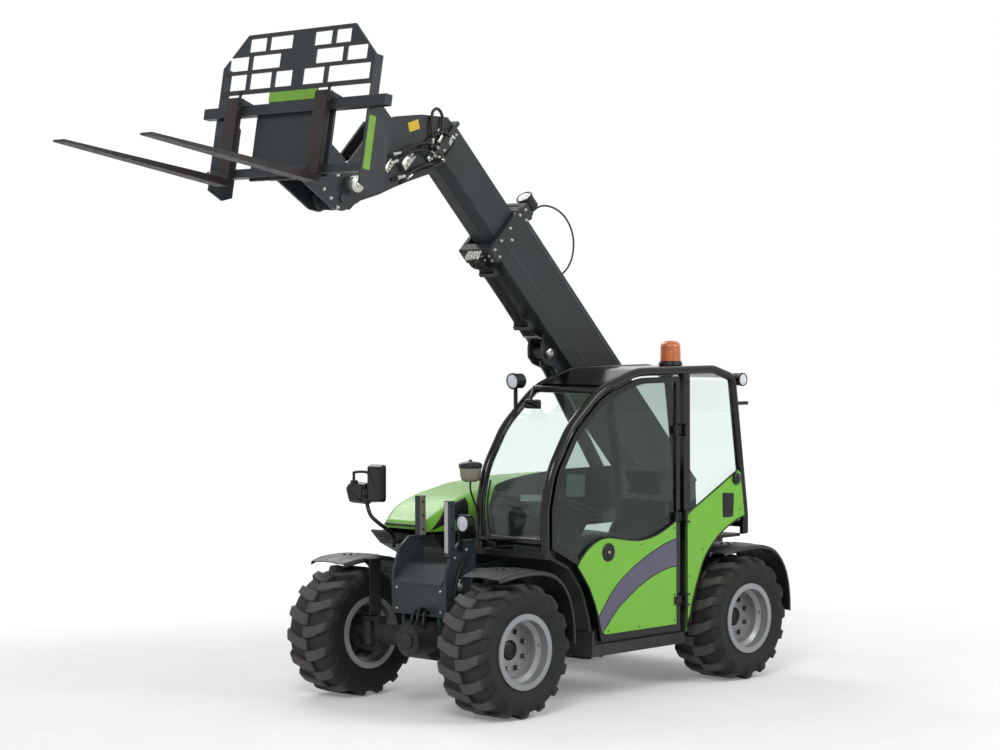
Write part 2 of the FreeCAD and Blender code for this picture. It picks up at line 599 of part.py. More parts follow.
def make_booms():
    node("boom_outer", make_outer_boom(), BOOM)
    node("boom_lines", make_boom_lines(), BOOM)
    node("boom_lamp", make_boom_lamp(), BOOM)
    node("lamp_hose", make_lamp_hose(), BOOM)
    node("boom_inner", make_inner_boom(), BOOM)
    node("boom_head", make_head(), BOOM)
    lift = ("lift_eye_radius", "lift_eye_half")
    node("lift_barrel", make_cylinder("lift_barrel_solid", *lift, "lift_pin_radius",
                                      "lift_barrel_radius", "lift_barrel_length",
                                      "lift_rod_radius"), LIFT)
    node("lift_rod", make_piston("lift_rod_solid", LIFT_LENGTH, "lift_rod_tail", *lift,
                                 "lift_rod_radius", "lift_barrel_radius"), LIFT)
    tilt = ("tilt_eye_radius", "tilt_eye_half")
    node("tilt_barrel", make_cylinder("tilt_barrel_solid", *tilt, "tilt_cylinder_pin",
                                      "tilt_barrel_radius", "tilt_barrel_length",
                                      "tilt_rod_radius"), TILT)
    node("tilt_rod", make_piston("tilt_rod_solid", TILT_LENGTH, "tilt_rod_tail", *tilt,
                                 "tilt_rod_radius", "tilt_barrel_radius"), TILT)


# ---------------------------------------------------------------- carriage and forks
BACK = "(bar_depth - face_forward)"


def make_hitch():
    side = [
        ("58", "-45"), ("62", "40"), ("-20", "ear_z + 60"), (BACK, "bar_rise - 60"),
        (BACK, "carriage_foot"), ("-60", "-74"), ("20", "-74"),
    ]
    plates = both_sides("hitch_plate", side, "hitch_half", "hitch_wall",
                        {0: "40", 1: "50", 2: "40", 5: "50", 6: "40"})
    plates.append(box("hitch_wall_plate", ("-hitch_half - 60", BACK, "carriage_foot"),
                      ("2 * hitch_half + 120", "plate_wall", "bar_rise - 60 - carriage_foot")))
    ear = [("ear_y + 34", "ear_z"), ("ear_y + 20", "ear_z + 30"), (f"{BACK} + 5", "ear_z + 110"),
           (f"{BACK} + 5", "ear_z - 110"), ("ear_y + 10", "ear_z - 32")]
    outer = "tilt_eye_half + 5 + ear_wall"
    plates += both_sides("hitch_ear", ear, outer, "ear_wall", {0: "16", 1: "16", 4: "20"})
    for name, start in (("left", "tilt_eye_half + 3"), ("right", "-tilt_eye_half - 11 - ear_wall")):
        plates.append(rod(f"ear_pin_{name}", "x", (start, "ear_y", "ear_z"), "tilt_cylinder_pin",
                          "ear_wall + 8"))
    bore = cross_rod("hitch_bore", "0", "0", "tilt_pin_radius + running_fit", "hitch_half + 20")
    return cut("hitch_frame_solid", fuse("hitch_whole", *plates), bore)


def make_carriage():
    bar = box("upper_bar", ("-bar_half", "-face_forward", "bar_rise - bar_height / 2"),
              ("2 * bar_half", "bar_depth", "bar_height"))
    low_bar = box("lower_bar", ("-side_half", "-face_forward", "carriage_foot + 15"),
                  ("2 * side_half", "bar_depth", "50"))
    middle = box("middle_plate", ("-330", f"{BACK} - plate_wall", "carriage_foot"),
                 ("660", "plate_wall", "bar_rise - carriage_foot"))
    side = [("-face_forward", "-50 + carriage_foot"), ("side_depth - face_forward - 70", "-90 + carriage_foot"),
            ("side_depth - face_forward", "-60 + carriage_foot"),
            ("side_depth - face_forward", "bar_rise - 60"), (BACK, "bar_rise + bar_height / 2"),
            ("-face_forward", "bar_rise + bar_height / 2")]
    sides = both_sides("carriage_side", side, "side_half", "plate_wall")
    return fuse("fork_carriage_solid", bar, low_bar, middle, *sides)


def make_backrest():
    """A cut-out guard plate with bent side flanges, standing on the upper bar."""
    plate = prism("rest_plate", [
        ("-side_half", "rest_foot"), ("side_half", "rest_foot"), ("side_half", "shoulder_rise"),
        ("rest_half", "rest_top"), ("-rest_half", "rest_top"), ("-side_half", "shoulder_rise"),
    ], "face_forward - rest_wall", "rest_wall", None, "XZ_Plane")
    foot = box("rest_foot_plate", ("-200", "-face_forward", "bar_rise + bar_height / 2"),
               ("400", "rest_wall", "rest_foot - bar_rise - bar_height / 2 + 5"))
    low = "bar_rise + bar_height / 2"
    flanges = []
    for name, start in (("left", "side_half - rest_wall"), ("right", "-side_half")):
        flanges.append(box(f"rest_flange_{name}", (start, "-face_forward", low),
                           ("rest_wall", "60", f"shoulder_rise - ({low})")))
    windows = []
    rows = [
        ("rest_foot + 26", "94", [(-620, 190), (-400, 190), (-180, 150), (60, 180), (270, 350)]),
        ("rest_foot + 142", "84", [(-600, 170), (-400, 250), (150, 230), (410, 170)]),
        ("rest_foot + 248", "80", [(-440, 150), (-262, 200), (120, 150), (300, 130)]),
    ]
    for row, (foot_z, height, spans) in enumerate(rows):
        for place, (start, width) in enumerate(spans):
            windows.append(box(f"rest_window_{row}_{place}", (f"{start}", "-face_forward - 5", foot_z),
                               (f"{width}", "rest_wall + 10", height)))
    return cut("fork_backrest_solid", fuse("rest_whole", plate, foot, *flanges), *windows)


def make_fork(name):
    back, front = "(-face_forward - 0.6)", "(-face_forward - 0.6 - fork_wall)"
    top = "(bar_rise + bar_height / 2 + 0.6)"
    points = [
        (back, "0"), (back, top), (f"{BACK} + 5", top), (f"{BACK} + 5", f"{top} - 30"),
        (f"{BACK} + 25", f"{top} - 30"), (f"{BACK} + 25", f"{top} + 26"),
        (back, f"{top} + 40"), (front, f"{top} + 40"), (front, "fork_wall + 5"),
        ("-face_forward - fork_length", "fork_tip"), ("-face_forward - fork_length", "0"),
    ]
    return prism(name, points, "-fork_width / 2", "fork_width", {0: "36", 8: "14"})


def make_carriage_group():
    node("hitch_frame", make_hitch(), CARRIAGE)
    node("fork_carriage", make_carriage(), CARRIAGE)
    node("fork_backrest", make_backrest(), CARRIAGE)
    for side in ("left", "right"):
        place = frame(f"fork_{side}_x", HEAD_Y, HEAD_Z, angle="-tilt_back")
        node(f"fork_{side}", make_fork(f"fork_{side}_solid"), place)


# ---------------------------------------------------------------- cab
HOOP = [
    ("cab_front", "940"), ("cab_front", "1200"), ("cab_front + 55", "1420"),
    ("cab_front + 220", "roof_z - 318"), ("765", "roof_z - 103"), ("1110", "roof_z"),
    ("1850", "roof_z"), ("cab_rear - 125", "roof_z - 56"), ("cab_rear", "shelf_z + 120"),
    ("cab_rear", "shelf_z"),
]
HOOP_ROUNDS = {2: "500", 3: "500", 4: "500", 5: "500", 6: "200", 7: "60", 8: "300"}
ARCH = [("cab_front - 18", "918"), ("340", "893"), ("490", "826"), ("600", "690"), ("662", "520"),
        ("682", "tub_floor")]


def make_cab_frame():
    parts = []
    for name, x in (("left", "cab_left - hoop_radius"), ("right", "cab_right")):
        parts.append(tube_along(f"hoop_{name}", HOOP, "hoop_radius", x, HOOP_ROUNDS))
    span = "cab_left - hoop_radius - cab_right"
    for name, y, z, radius in (("foot", "cab_front", "1000", "hoop_radius - 4"),
                               ("brow", *HOOP[4], "hoop_radius - 6"),
                               ("rear", "cab_rear - 3", "shelf_z + 60", "hoop_radius - 4")):
        parts.append(rod(f"cross_{name}", "x", ("cab_right", y, z), radius, span))
    parts.append(box("door_post", ("cab_left - 50", "door_rear + 45", "shelf_z"),
                     ("45", "60", "roof_z - shelf_z")))
    return fuse("cab_frame_solid", *parts, *lamp_stalks(), *door_hinge("1080"), *door_hinge("1620"))


HINGES = ("560", "1080", "1620")


def door_hinge(z):
    """Two ears and the pin between them, on the door post."""
    parts = [rod("hinge_pin_" + z, "z", ("hinge_x", "hinge_y", f"{z} - 39"), "7", "78")]
    for end, lift in (("low", "-39"), ("high", "27")):
        parts.append(box(f"hinge_ear_{end}_{z}", ("cab_left - 10", "hinge_y - 12", f"{z} + {lift}"),
                         ("hinge_x - cab_left + 22", "40", "12")))
    return parts


def make_cab_tub():
    """Floor, front wheel arch, rear wall and shelf in one bent plate, with a side wall and sills."""
    run = ARCH + [("1515", "tub_floor"), ("1532", "shelf_z - 20"), ("cab_rear - 30", "shelf_z - 20")]
    bent = sheet_band("tub_plate", run[::-1], "tub_wall", "cab_right + 5",
                      "cab_left - cab_right - 40", {3: "30", 4: "120", 5: "120"})
    side = prism("tub_side", ARCH + [("1515", "tub_floor"), ("1532", "shelf_z")] +
                 [("cab_front - 10", "936")], "cab_right + 5", "14")
    skirt = box("front_skirt", ("cab_right + 5", "672", "285"), ("cab_left - cab_right - 10", "18", "150"))
    sill = box("sill", ("cab_left - 50", "690", "285"), ("45", "845", "70"))
    riser = box("sill_riser", ("cab_left - 50", "690", "350"), ("20", "845", "80"))
    post = box("post_foot", ("cab_left - 50", "door_rear + 45", "350"), ("45", "30", "shelf_z - 350"))
    rail = box("front_rail", ("cab_right - hoop_radius", "cab_front - 28", "905"),
               ("cab_left - cab_right + hoop_radius", "56", "35"))
    return fuse("cab_tub_solid", bent, rail, side, skirt, sill, riser, post, *door_hinge(HINGES[0]))


def make_cab_glass():
    span = ("cab_right + hoop_radius + 0.3", "cab_left - cab_right - 3 * hoop_radius - 0.6")
    front = [("cab_front", "1000")] + HOOP[1:5]
    screen = sheet_band("windscreen_sheet", front, "glass", *span, {2: "500", 3: "500"})
    screen = cut("windscreen", screen,
                 cross_rod("foot_clearance", "cab_front", "1000", "hoop_radius - 3.7", "cab_left"),
                 cross_rod("brow_clearance", *HOOP[4], "hoop_radius - 5.7", "cab_left"))
    back = [("cab_rear - 122", "roof_z - 80"), ("cab_rear", "shelf_z + 124")]
    rear = sheet_band("rear_pane", back, "glass", *span)
    edge, corners = inset(HOOP, "(hoop_radius + 0.3)", HOOP_ROUNDS)
    side = prism("right_pane", edge, "cab_right - 3", "glass", corners)
    quarter = prism("quarter_pane", [
        ("door_rear + 105.3", "1080"), ("door_rear + 105.3", edge[6][1]), edge[6], edge[7],
        (f"{edge[7][0]} + ({edge[8][0]} - ({edge[7][0]})) * 0.68",
         f"{edge[7][1]} + ({edge[8][1]} - ({edge[7][1]})) * 0.68"),
    ], "cab_left - hoop_radius - 3", "glass", {2: "171.7", 3: "31.7"})
    return group("cab_glass_solid", screen, rear, side, quarter)


def make_roof():
    run = [("800", "roof_z - 70"), ("1112", "roof_z + 20"), ("1852", "roof_z + 20"),
           ("cab_rear - 128", "roof_z - 30")]
    return sheet_band("cab_roof_solid", run, "roof_wall", "cab_right + hoop_radius + 0.3",
                      "cab_left - cab_right - 3 * hoop_radius - 0.6", {1: "400", 2: "160"})


def make_quarter_panel():
    rear = "cab_rear - hoop_radius - 1"
    top_rear = "cab_rear - hoop_radius - 42"
    points = [
        ("door_rear + 60", "366"), ("1560", "420"), ("1585", "474"), ("1605", "548"),
        ("1654", "669"), ("1734", "820"), ("1885", "949"), ("2040", "1020"), (rear, "1046"),
        (top_rear, "1326"), ("cab_rear - 104", "1344"), ("door_rear + 75", "1098"),
        ("door_rear + 60", "1080"),
    ]
    return prism("quarter_panel_solid", points, "cab_left - 5", "10",
                 {5: "200", 6: "300", 7: "300", 9: "14", 10: "14"})


DOOR_EDGE = [("748", "372"), ("712", "524"), ("646", "710"), ("524", "858"), ("365", "938")]
DOOR_HOLE = [("784", "406"), ("745", "540"), ("676", "734"), ("546", "890"), ("398", "966")]
PANEL_TOP = [("610", "960"), ("760", "985"), ("980", "985"), ("1150", "1030"), ("1300", "1110")]


def door_loop(low, foot, gap, rear):
    """The door's edge or opening: up the wheel arch, then `gap` inside the cab's hoop."""
    run = [("cab_front", foot)] + HOOP[1:6] + [(rear, "roof_z")]
    hoop, corners = inset(run, gap, {2: "500", 3: "500", 4: "500", 5: "500"})
    points = low + hoop + [(rear, low[0][1])]
    return points, {corner + len(low): radius for corner, radius in corners.items()}


def make_door():
    edge, edge_rounds = door_loop(DOOR_EDGE, "960", "(hoop_radius + door_gap)", "door_rear")
    hole, hole_rounds = door_loop(DOOR_HOLE, "990", "(hoop_radius + door_gap + 36)", "door_rear - 36")
    ring = cut("door_ring", prism("door_edge", edge, "cab_left - skin", "skin", edge_rounds),
               prism("door_hole", hole, "cab_left - skin - 5", "skin + 10", hole_rounds))
    solids = [ring]
    bores = []
    for z in HINGES:
        solids.append(box("strap_" + z, ("cab_left - 1", "door_rear - 60", f"{z} - 26"),
                          ("12", "hinge_y - door_rear + 60", "52")))
        solids.append(box("strap_web_" + z, ("cab_left - 1", "hinge_y - 12", f"{z} - 26"),
                          ("hinge_x - cab_left + 1", "14", "52")))
        solids.append(rod("strap_eye_" + z, "z", ("hinge_x", "hinge_y", f"{z} - 26"), "13", "52"))
        bores.append(rod("strap_bore_" + z, "z", ("hinge_x", "hinge_y", f"{z} - 60"),
                         "7 + running_fit", "120"))
    return cut("door_frame_solid", fuse("door_whole", *solids), *bores)


def make_door_panel():
    points = DOOR_HOLE[:4] + PANEL_TOP + [("door_rear - 36", "1145"), ("door_rear - 36", "406")]
    return prism("door_panel_solid", points, "cab_left - 12", "10", {5: "60", 6: "60", 7: "200"})


def make_door_glass():
    hole, corners = door_loop(DOOR_HOLE[3:], "990", "(hoop_radius + door_gap + 36)", "door_rear - 36")
    return prism("door_glass_solid", hole, "cab_left - 12 - glass", "glass", corners)


def make_seat_base():
    points = [("1080", "tub_floor + tub_wall"), ("1460", "tub_floor + tub_wall"),
              ("1440", "tub_floor + tub_wall + 250"), ("1010", "tub_floor + tub_wall + 250")]
    return prism("seat_base_solid", points, "330", "300")


def make_seat():
    cushion = box("seat_cushion", ("250", "960", "tub_floor + tub_wall + 250"), ("440", "500", "110"))
    back = prism("seat_back", [("1370", "800"), ("1470", "810"), ("1520", "1380"), ("1430", "1390")],
                 "265", "410")
    return group("seat_solid", cushion, back)


def make_steering():
    column = prism("column_cover", [("690", "tub_floor + tub_wall + 150"), ("740", "tub_floor + tub_wall"),
                                       ("820", "tub_floor + tub_wall"), ("800", "1060"), ("740", "1090")],
                   "400", "130")
    wheel = DOC.addObject("Part::Torus", "steering_ring")
    wheel.Radius1 = 170
    wheel.Radius2 = 13
    wheel.Placement = FreeCAD.Placement(Vector(465, 800, 1150), Rotation(Vector(1, 0, 0), -28))
    hub = box("steering_hub", ("300", "780", "1128"), ("330", "36", "26"))
    stem = box("steering_stem", ("440", "770", "1050"), ("50", "50", "90"))
    return fuse("steering_solid", column, wheel, hub, stem)


def make_beacon():
    base = rod("beacon_base", "z", ("beacon_x", "1740", "roof_z + 20"), "beacon_radius", "32")
    dome = rod("beacon_dome", "z", ("beacon_x", "1740", "roof_z + 48"), "beacon_radius - 6", "134")
    return fuse("beacon_solid", base, dome)


def lamp_stalks():
    """Brackets on the cab's tubes for the work lamps and the fluid reservoir."""
    return [
        box("front_stalk", ("cab_right - 8", "585", "1740"), ("16", "20", "150")),
        box("rear_stalk", ("cab_left - 48", "cab_rear - 110", "1905"), ("30", "29.8", "24")),
        box("reservoir_arm", ("cab_right - 10", "190.3 + reservoir_radius", "1345"),
            ("20", "104.7 - reservoir_radius", "20")),
    ]


def make_lamps():
    """Work lamps on the cab and the driving lamp beside the nose."""
    stand = box("nose_lamp_stand", ("nose_half", "50", "nose_top - 60"), ("12", "30", "140"))
    nose = rod("nose_lamp", "y", ("nose_half + 53", "92", "1106"), "50", "54")
    front = rod("front_work_lamp", "y", ("cab_right + 2", "640", "1936"), "46", "70")
    rear = rod("rear_work_lamp", "x", ("cab_left - 78", "cab_rear - 40", "1917"), "40", "70")
    return group("lamps_solid", fuse("nose_lamp_set", nose, stand), front, rear)


def make_reservoir():
    bowl = rod("reservoir_bowl", "z", ("reservoir_x", "190", "1342"), "reservoir_radius", "92")
    lid = rod("reservoir_lid", "z", ("reservoir_x", "190", "1430"), "reservoir_radius + 3", "42")
    return fuse("reservoir_solid", bowl, lid)


def make_mirror():
    """Two mirror heads on a bent arm in front of the engine hood."""
    path = [("185", "900"), ("185", "985"), ("105", "1030"), ("40", "1100"), ("40", "1350")]
    arm = tube_along("mirror_arm", path, "11", "-470", {1: "50", 2: "70", 3: "70"})
    bracket = box("mirror_foot", ("-482", "174", "938"), ("24", "118.8", "14"))
    large = box("mirror_large", ("-525", "16", "1176"), ("130", "44", "250"))
    small = box("mirror_small", ("-655", "22", "1178"), ("140", "36", "120"))
    return fuse("mirror_solid", arm, bracket, large, small)


# ---------------------------------------------------------------- engine side
def make_bay():
    run = [("cab_front - 20", "bay_top - 20"), ("340", "905"), ("490", "830"), ("600", "690"),
           ("662", "520"), ("682", "tub_floor"), ("1490", "tub_floor"), ("1510", "700"),
           ("1600", "880"), ("hood_rear - 8", "bay_top - 12")]
    width = "bay_outer - bay_inner"
    bent = sheet_band("bay_plate", run[::-1], "bay_wall", "-bay_outer", width)
    outer = prism("bay_side", run, "-bay_outer", "bay_wall")
    inner = prism("bay_inner_side", run, "-bay_inner - bay_wall", "bay_wall")
    hinges = []
    for x in HOOD_HINGES:
        hinges.append(rod("hood_pin_" + x, "x", (f"-{x} - 40", "hood_rear + 18", "bay_top"), "7", "80"))
        for end, shift in (("outer", "-40"), ("inner", "28")):
            hinges.append(box(f"hood_ear_{end}_{x}", (f"-{x} + {shift}", "hood_rear + 8", "bay_top - 50"),
                              ("12", "24", "60")))
        hinges.append(box("hood_ear_foot_" + x, (f"-{x} - 40", "hood_rear - 60", "bay_top - 62"),
                          ("80", "88", "22")))
    return fuse("engine_bay_solid", bent, outer, inner, *hinges)


HOOD_HINGES = ("650", "290")


HOOD = [("hood_nose", "bay_top + 5"), ("hood_nose + 20", "bay_top + 60"), ("420", "1150"),
        ("600", "1212"), ("850", "hood_top - 28"), ("1200", "hood_top"), ("hood_rear - 10", "hood_top"),
        ("hood_rear", "bay_top + 5")]


def make_hood():
    width = "bay_outer - bay_inner"
    bent = sheet_band("hood_plate", HOOD, "hood_wall", "-bay_outer", width,
                      {1: "40", 2: "400", 3: "400", 4: "600", 6: "60"})
    outer = prism("hood_side", HOOD, "-bay_outer", "hood_wall",
                  {1: "40", 2: "400", 3: "400", 4: "600", 6: "60"})
    inner = prism("hood_inner_side", HOOD, "-bay_inner - hood_wall", "hood_wall",
                  {1: "40", 2: "400", 3: "400", 4: "600", 6: "60"})
    hinges = []
    bores = []
    for x in HOOD_HINGES:
        hinges.append(rod("hood_eye_" + x, "x", (f"-{x} - 26", "hood_rear + 18", "bay_top"), "13", "52"))
        hinges.append(box("hood_web_" + x, (f"-{x} - 26", "hood_rear - 6", "bay_top + 8"),
                          ("52", "20", "50")))
        bores.append(rod("hood_bore_" + x, "x", (f"-{x} - 60", "hood_rear + 18", "bay_top"),
                         "7 + running_fit", "120"))
    return cut("engine_hood_solid", fuse("hood_whole", bent, outer, inner, *hinges), *bores)


def make_engine():
    foot = "tub_floor + bay_wall"
    points = [("715", foot), ("715 + engine_length", foot),
              ("715 + engine_length", f"{foot} + engine_height"), ("715", f"{foot} + engine_height")]
    return prism("engine_solid", points, "-670", "engine_width")


def make_machine():
    node("chassis_frame", make_chassis(), MACHINE)
    node("front_cover", make_front_cover(), MACHINE)
    node("counterweight", make_counterweight(), MACHINE)
    node("cab_frame", make_cab_frame(), MACHINE)
    node("cab_tub", make_cab_tub(), MACHINE)
    node("cab_glass", make_cab_glass(), MACHINE)
    node("cab_roof", make_roof(), MACHINE)
    node("quarter_panel", make_quarter_panel(), MACHINE)
    node("door_frame", make_door(), MACHINE)
    node("door_panel", make_door_panel(), MACHINE)
    node("door_glass", make_door_glass(), MACHINE)
    node("seat_base", make_seat_base(), MACHINE)
    node("seat_cushions", make_seat(), MACHINE)
    node("steering_column", make_steering(), MACHINE)
    node("beacon", make_beacon(), MACHINE)
    node("lamps", make_lamps(), MACHINE)
    node("mirror", make_mirror(), MACHINE)
    node("reservoir", make_reservoir(), MACHINE)
    node("engine_bay", make_bay(), MACHINE)
    node("engine_hood", make_hood(), MACHINE)
    node("engine_block", make_engine(), MACHINE)


def check():
    wrong = [item.Name for item in DOC.Objects if {"Invalid", "Error"} & set(item.State)]
    for item in NODES:
        if item.Shape.isNull() or not item.Shape.isValid() or not item.Shape.Solids:
            wrong.append(item.Label)
    if wrong:
        raise ValueError(f"not sound: {wrong}")


def export():
    os.makedirs("parts", exist_ok=True)
    for item in NODES:
        item.Shape.exportStep(f"parts/{item.Label}.step")


make_machine()
make_running_gear()
make_booms()
make_carriage_group()
DOC.recompute()
check()
export()
print("nodes", len(NODES), "origin", round(value(ORIGIN_Y), 3))
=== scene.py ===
import math
from itertools import product

import bmesh
import bpy
from mathutils import Euler, Matrix, Vector


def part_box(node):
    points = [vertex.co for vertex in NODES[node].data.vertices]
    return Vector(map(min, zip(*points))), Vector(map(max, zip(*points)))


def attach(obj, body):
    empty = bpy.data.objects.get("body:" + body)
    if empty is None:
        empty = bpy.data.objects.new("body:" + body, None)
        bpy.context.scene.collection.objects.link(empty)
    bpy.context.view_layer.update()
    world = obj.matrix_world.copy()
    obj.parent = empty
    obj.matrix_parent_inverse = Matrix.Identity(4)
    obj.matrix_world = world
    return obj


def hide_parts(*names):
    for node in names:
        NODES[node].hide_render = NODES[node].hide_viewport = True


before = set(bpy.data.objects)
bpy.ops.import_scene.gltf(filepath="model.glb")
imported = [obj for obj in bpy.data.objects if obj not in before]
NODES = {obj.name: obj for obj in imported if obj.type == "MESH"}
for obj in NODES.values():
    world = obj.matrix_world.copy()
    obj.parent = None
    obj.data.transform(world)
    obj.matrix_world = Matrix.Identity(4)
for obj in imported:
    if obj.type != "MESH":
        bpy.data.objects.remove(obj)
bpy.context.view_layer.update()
wheel_low, wheel_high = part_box("tyre_front_left")
SHIFT = (wheel_low.y + wheel_high.y) / 2          # the front axle's y
BOOM_ANGLE, TILT_ANGLE = math.radians(46), math.radians(10.3)
PIVOT_Y, PIVOT_Z = 2210, 1200                     # the boom's pivot
TILT_PIN = (3365, -865)                           # pins along and across the boom: the carriage's,
LIFT_PIN, EYE_PIN = (1465, -221), (3092, 17)      # the lift cylinder's and the tilt cylinder's
OUT, UP = Vector((1, 0, 0)), Vector((0, 0, 1))    # out of the machine's left, and up
SIDES = {1: "left", -1: "right"}
CAMERA_PLACE = (10.5849, -10.4731, 2.4139)
CAMERA_TURN = (88.3290, 0.2517, 43.8560)          # degrees about x, y and z


# ---------------------------------------------------------------- places
def at(x, y, z):
    """Millimetres counted from the front axle, the middle and the ground."""
    return Vector((x / 1000, y / 1000 + SHIFT, z / 1000))


def leaned(angle, y, z, forward, rise):
    """Where a run forward and a rise across it end, in a side view, from (y, z) at a slope."""
    c, s = math.cos(angle), math.sin(angle)
    return y - forward * c + rise * s, z + forward * s + rise * c


def on_boom(x, forward, rise):
    """Millimetres counted along and across the boom from its pivot."""
    return at(x, *leaned(BOOM_ANGLE, PIVOT_Y, PIVOT_Z, forward, rise))


def on_carriage(x, y, z):
    """Millimetres counted from the carriage's pin, leaning with the carriage."""
    pin_y, pin_z = leaned(BOOM_ANGLE, PIVOT_Y, PIVOT_Z, *TILT_PIN)
    return at(x, *leaned(TILT_ANGLE, pin_y, pin_z, -y, z))


def way(place, *step):
    """The direction of a step in one of the leaning frames."""
    return place(*step) - place(0, 0, 0)


def placed(name, data):
    """A new object in the scene."""
    made = bpy.data.objects.new(name, data)
    bpy.context.scene.collection.objects.link(made)
    return made


# ---------------------------------------------------------------- camera
camera = placed("camera", bpy.data.cameras.new("camera"))
camera.data.lens, camera.data.sensor_width = 88.97, 36
camera.data.clip_end = 200
turn = Euler([math.radians(angle) for angle in CAMERA_TURN]).to_matrix().to_4x4()
camera.matrix_world = Matrix.Translation(CAMERA_PLACE) @ turn
bpy.context.scene.camera = camera


# ---------------------------------------------------------------- node helpers
class Tree:
    """The nodes of a material or the world, added one at a time with their sockets given by name."""

    def __init__(self, owner, output="OutputMaterial"):
        self.owner = owner
        owner.use_nodes = True
        self.nodes, self.links = owner.node_tree.nodes, owner.node_tree.links
        self.nodes.clear()
        self.output = self.add(output)
        self.place = self.add("TexCoord").outputs["Object"]

    def add(self, kind, settings=None, **sockets):
        made = self.nodes.new("ShaderNode" + kind)
        for key, setting in (settings or {}).items():
            setattr(made, key, setting)
        for key, source in sockets.items():
            self.set(made, key.replace("_", " "), source)
        return made

    def set(self, node, key, source):
        """A key such as i1 is the number of an input, any other is its name."""
        numbered = key[0] == "i" and key[1:].isdigit()
        socket = node.inputs[int(key[1:]) if numbered else key]
        if isinstance(source, bpy.types.NodeSocket):
            self.links.new(source, socket)
        else:
            socket.default_value = source

    def noise(self, scale, detail=4, rough=0.55, stretch=None):
        """Cloudy noise in the piece's own place, drawn out along an axis by stretch."""
        vector = self.place
        if stretch:
            vector = self.add("Mapping", Vector=self.place, Scale=stretch).outputs[0]
        return self.add("TexNoise", Vector=vector, Scale=scale, Detail=detail,
                        Roughness=rough).outputs[0]

    def range(self, source, low, high, to_low, to_high):
        return self.add("MapRange", Value=source, From_Min=low, From_Max=high, To_Min=to_low,
                        To_Max=to_high).outputs[0]

    def mix(self, share, first, second):
        made = self.add("Mix", {"data_type": "RGBA"})
        for index, source in ((0, share), (6, first), (7, second)):
            self.set(made, f"i{index}", source)
        return made.outputs[2]

    def math(self, how, *values):
        made = self.add("Math", {"operation": how, "use_clamp": True})
        for index, source in enumerate(values):
            self.set(made, f"i{index}", source)
        return made.outputs[0]

    def bump(self, height, strength, distance, normal=None):
        sockets = {"Height": height, "Strength": strength, "Distance": distance}
        if normal is not None:
            sockets["Normal"] = normal
        return self.add("Bump", **sockets).outputs[0]

    def cloudy(self, source, colour, spread):
        """Patches lighter and darker than a colour by a share of it."""
        return self.mix(self.range(source, 0.3, 0.7, 0, 1), shade(colour, 1 - spread),
                        shade(colour, 1 + spread))

    def patchy(self, scale, low, high):
        """A roughness that wanders between two values."""
        return self.range(self.noise(scale, 5), 0.3, 0.7, low, min(1, high))

    def soft(self, radius):
        """The normal of an edge rounded by a radius."""
        return self.add("Bevel", {"samples": 4}, Radius=radius).outputs[0]

    def principled(self, extra, **sockets):
        """The Principled shader; extra holds its plain numbers by name."""
        shader = self.add("BsdfPrincipled", **sockets)
        for key, value in extra.items():
            shader.inputs[key].default_value = value
        return self.finish(shader.outputs[0])

    def finish(self, shader):
        self.links.new(shader, self.output.inputs["Surface"])
        return self.owner


DUST, PALE_DUST = (0.17, 0.155, 0.135, 1), (0.2, 0.185, 0.165, 1)


def shade(colour, factor):
    """A colour made lighter or darker, with its fourth number."""
    return tuple(min(1.0, c * factor) for c in colour[:3]) + (1.0,)


def paint(name, colour, rough=0.4, metal=0.0, spread=0.12, coat=0.0, edge=0.003, edge_wear_and_highlight=0.25, dust=0.0,
          grain=140, bump=0.12, scale=5.0, worn=(0.3, 0.3, 0.29), shine=0.25):
    """Painted or cast surface: cloudy tone, fine grain, softened edges lightened partly by rubbing and partly
    as a painted highlight, settled dust.
    """
    t = Tree(bpy.data.materials.new(name))
    cloud, fine = t.noise(scale, 6), t.noise(grain, 3)
    tone = t.cloudy(cloud, colour, spread)
    streak = t.noise(16, 5, 0.6, (1, 1, 0.22))
    tone = t.mix(t.range(streak, 0.55, 0.8, 0, 0.25), tone, shade(colour, 0.72))
    normal = None
    if edge:
        normal = t.soft(edge)
        hard = t.add("NewGeometry").outputs["Normal"]
        lean = t.add("VectorMath", {"operation": "DOT_PRODUCT"}, i0=normal, i1=hard).outputs["Value"]
        # the edges take a lighter colour: partly rubbed paint, partly a painted highlight along them
        rub_and_highlight = t.math("MULTIPLY", t.range(lean, 0.97, 0.78, 0, 1), t.range(fine, 0.35, 0.6, 0.2, 1))
        tone = t.mix(t.math("MULTIPLY", rub_and_highlight, edge_wear_and_highlight), tone, shade(worn, 1))
    if dust:
        height = t.add("SeparateXYZ", Vector=t.place).outputs["Z"]
        low = t.math("MULTIPLY", t.range(height, 1.1, 0.25, 0, dust), t.range(cloud, 0.35, 0.65, 0.35, 1))
        tone = t.mix(low, tone, DUST)
    extra = {"Coat Weight": coat, "Coat Roughness": 0.12, "Specular IOR Level": shine}
    return t.principled(extra, Metallic=metal, Base_Color=tone,
                        Roughness=t.patchy(scale * 5, rough * 0.82, rough * 1.22),
                        Normal=t.bump(fine, bump, 0.0008, normal))


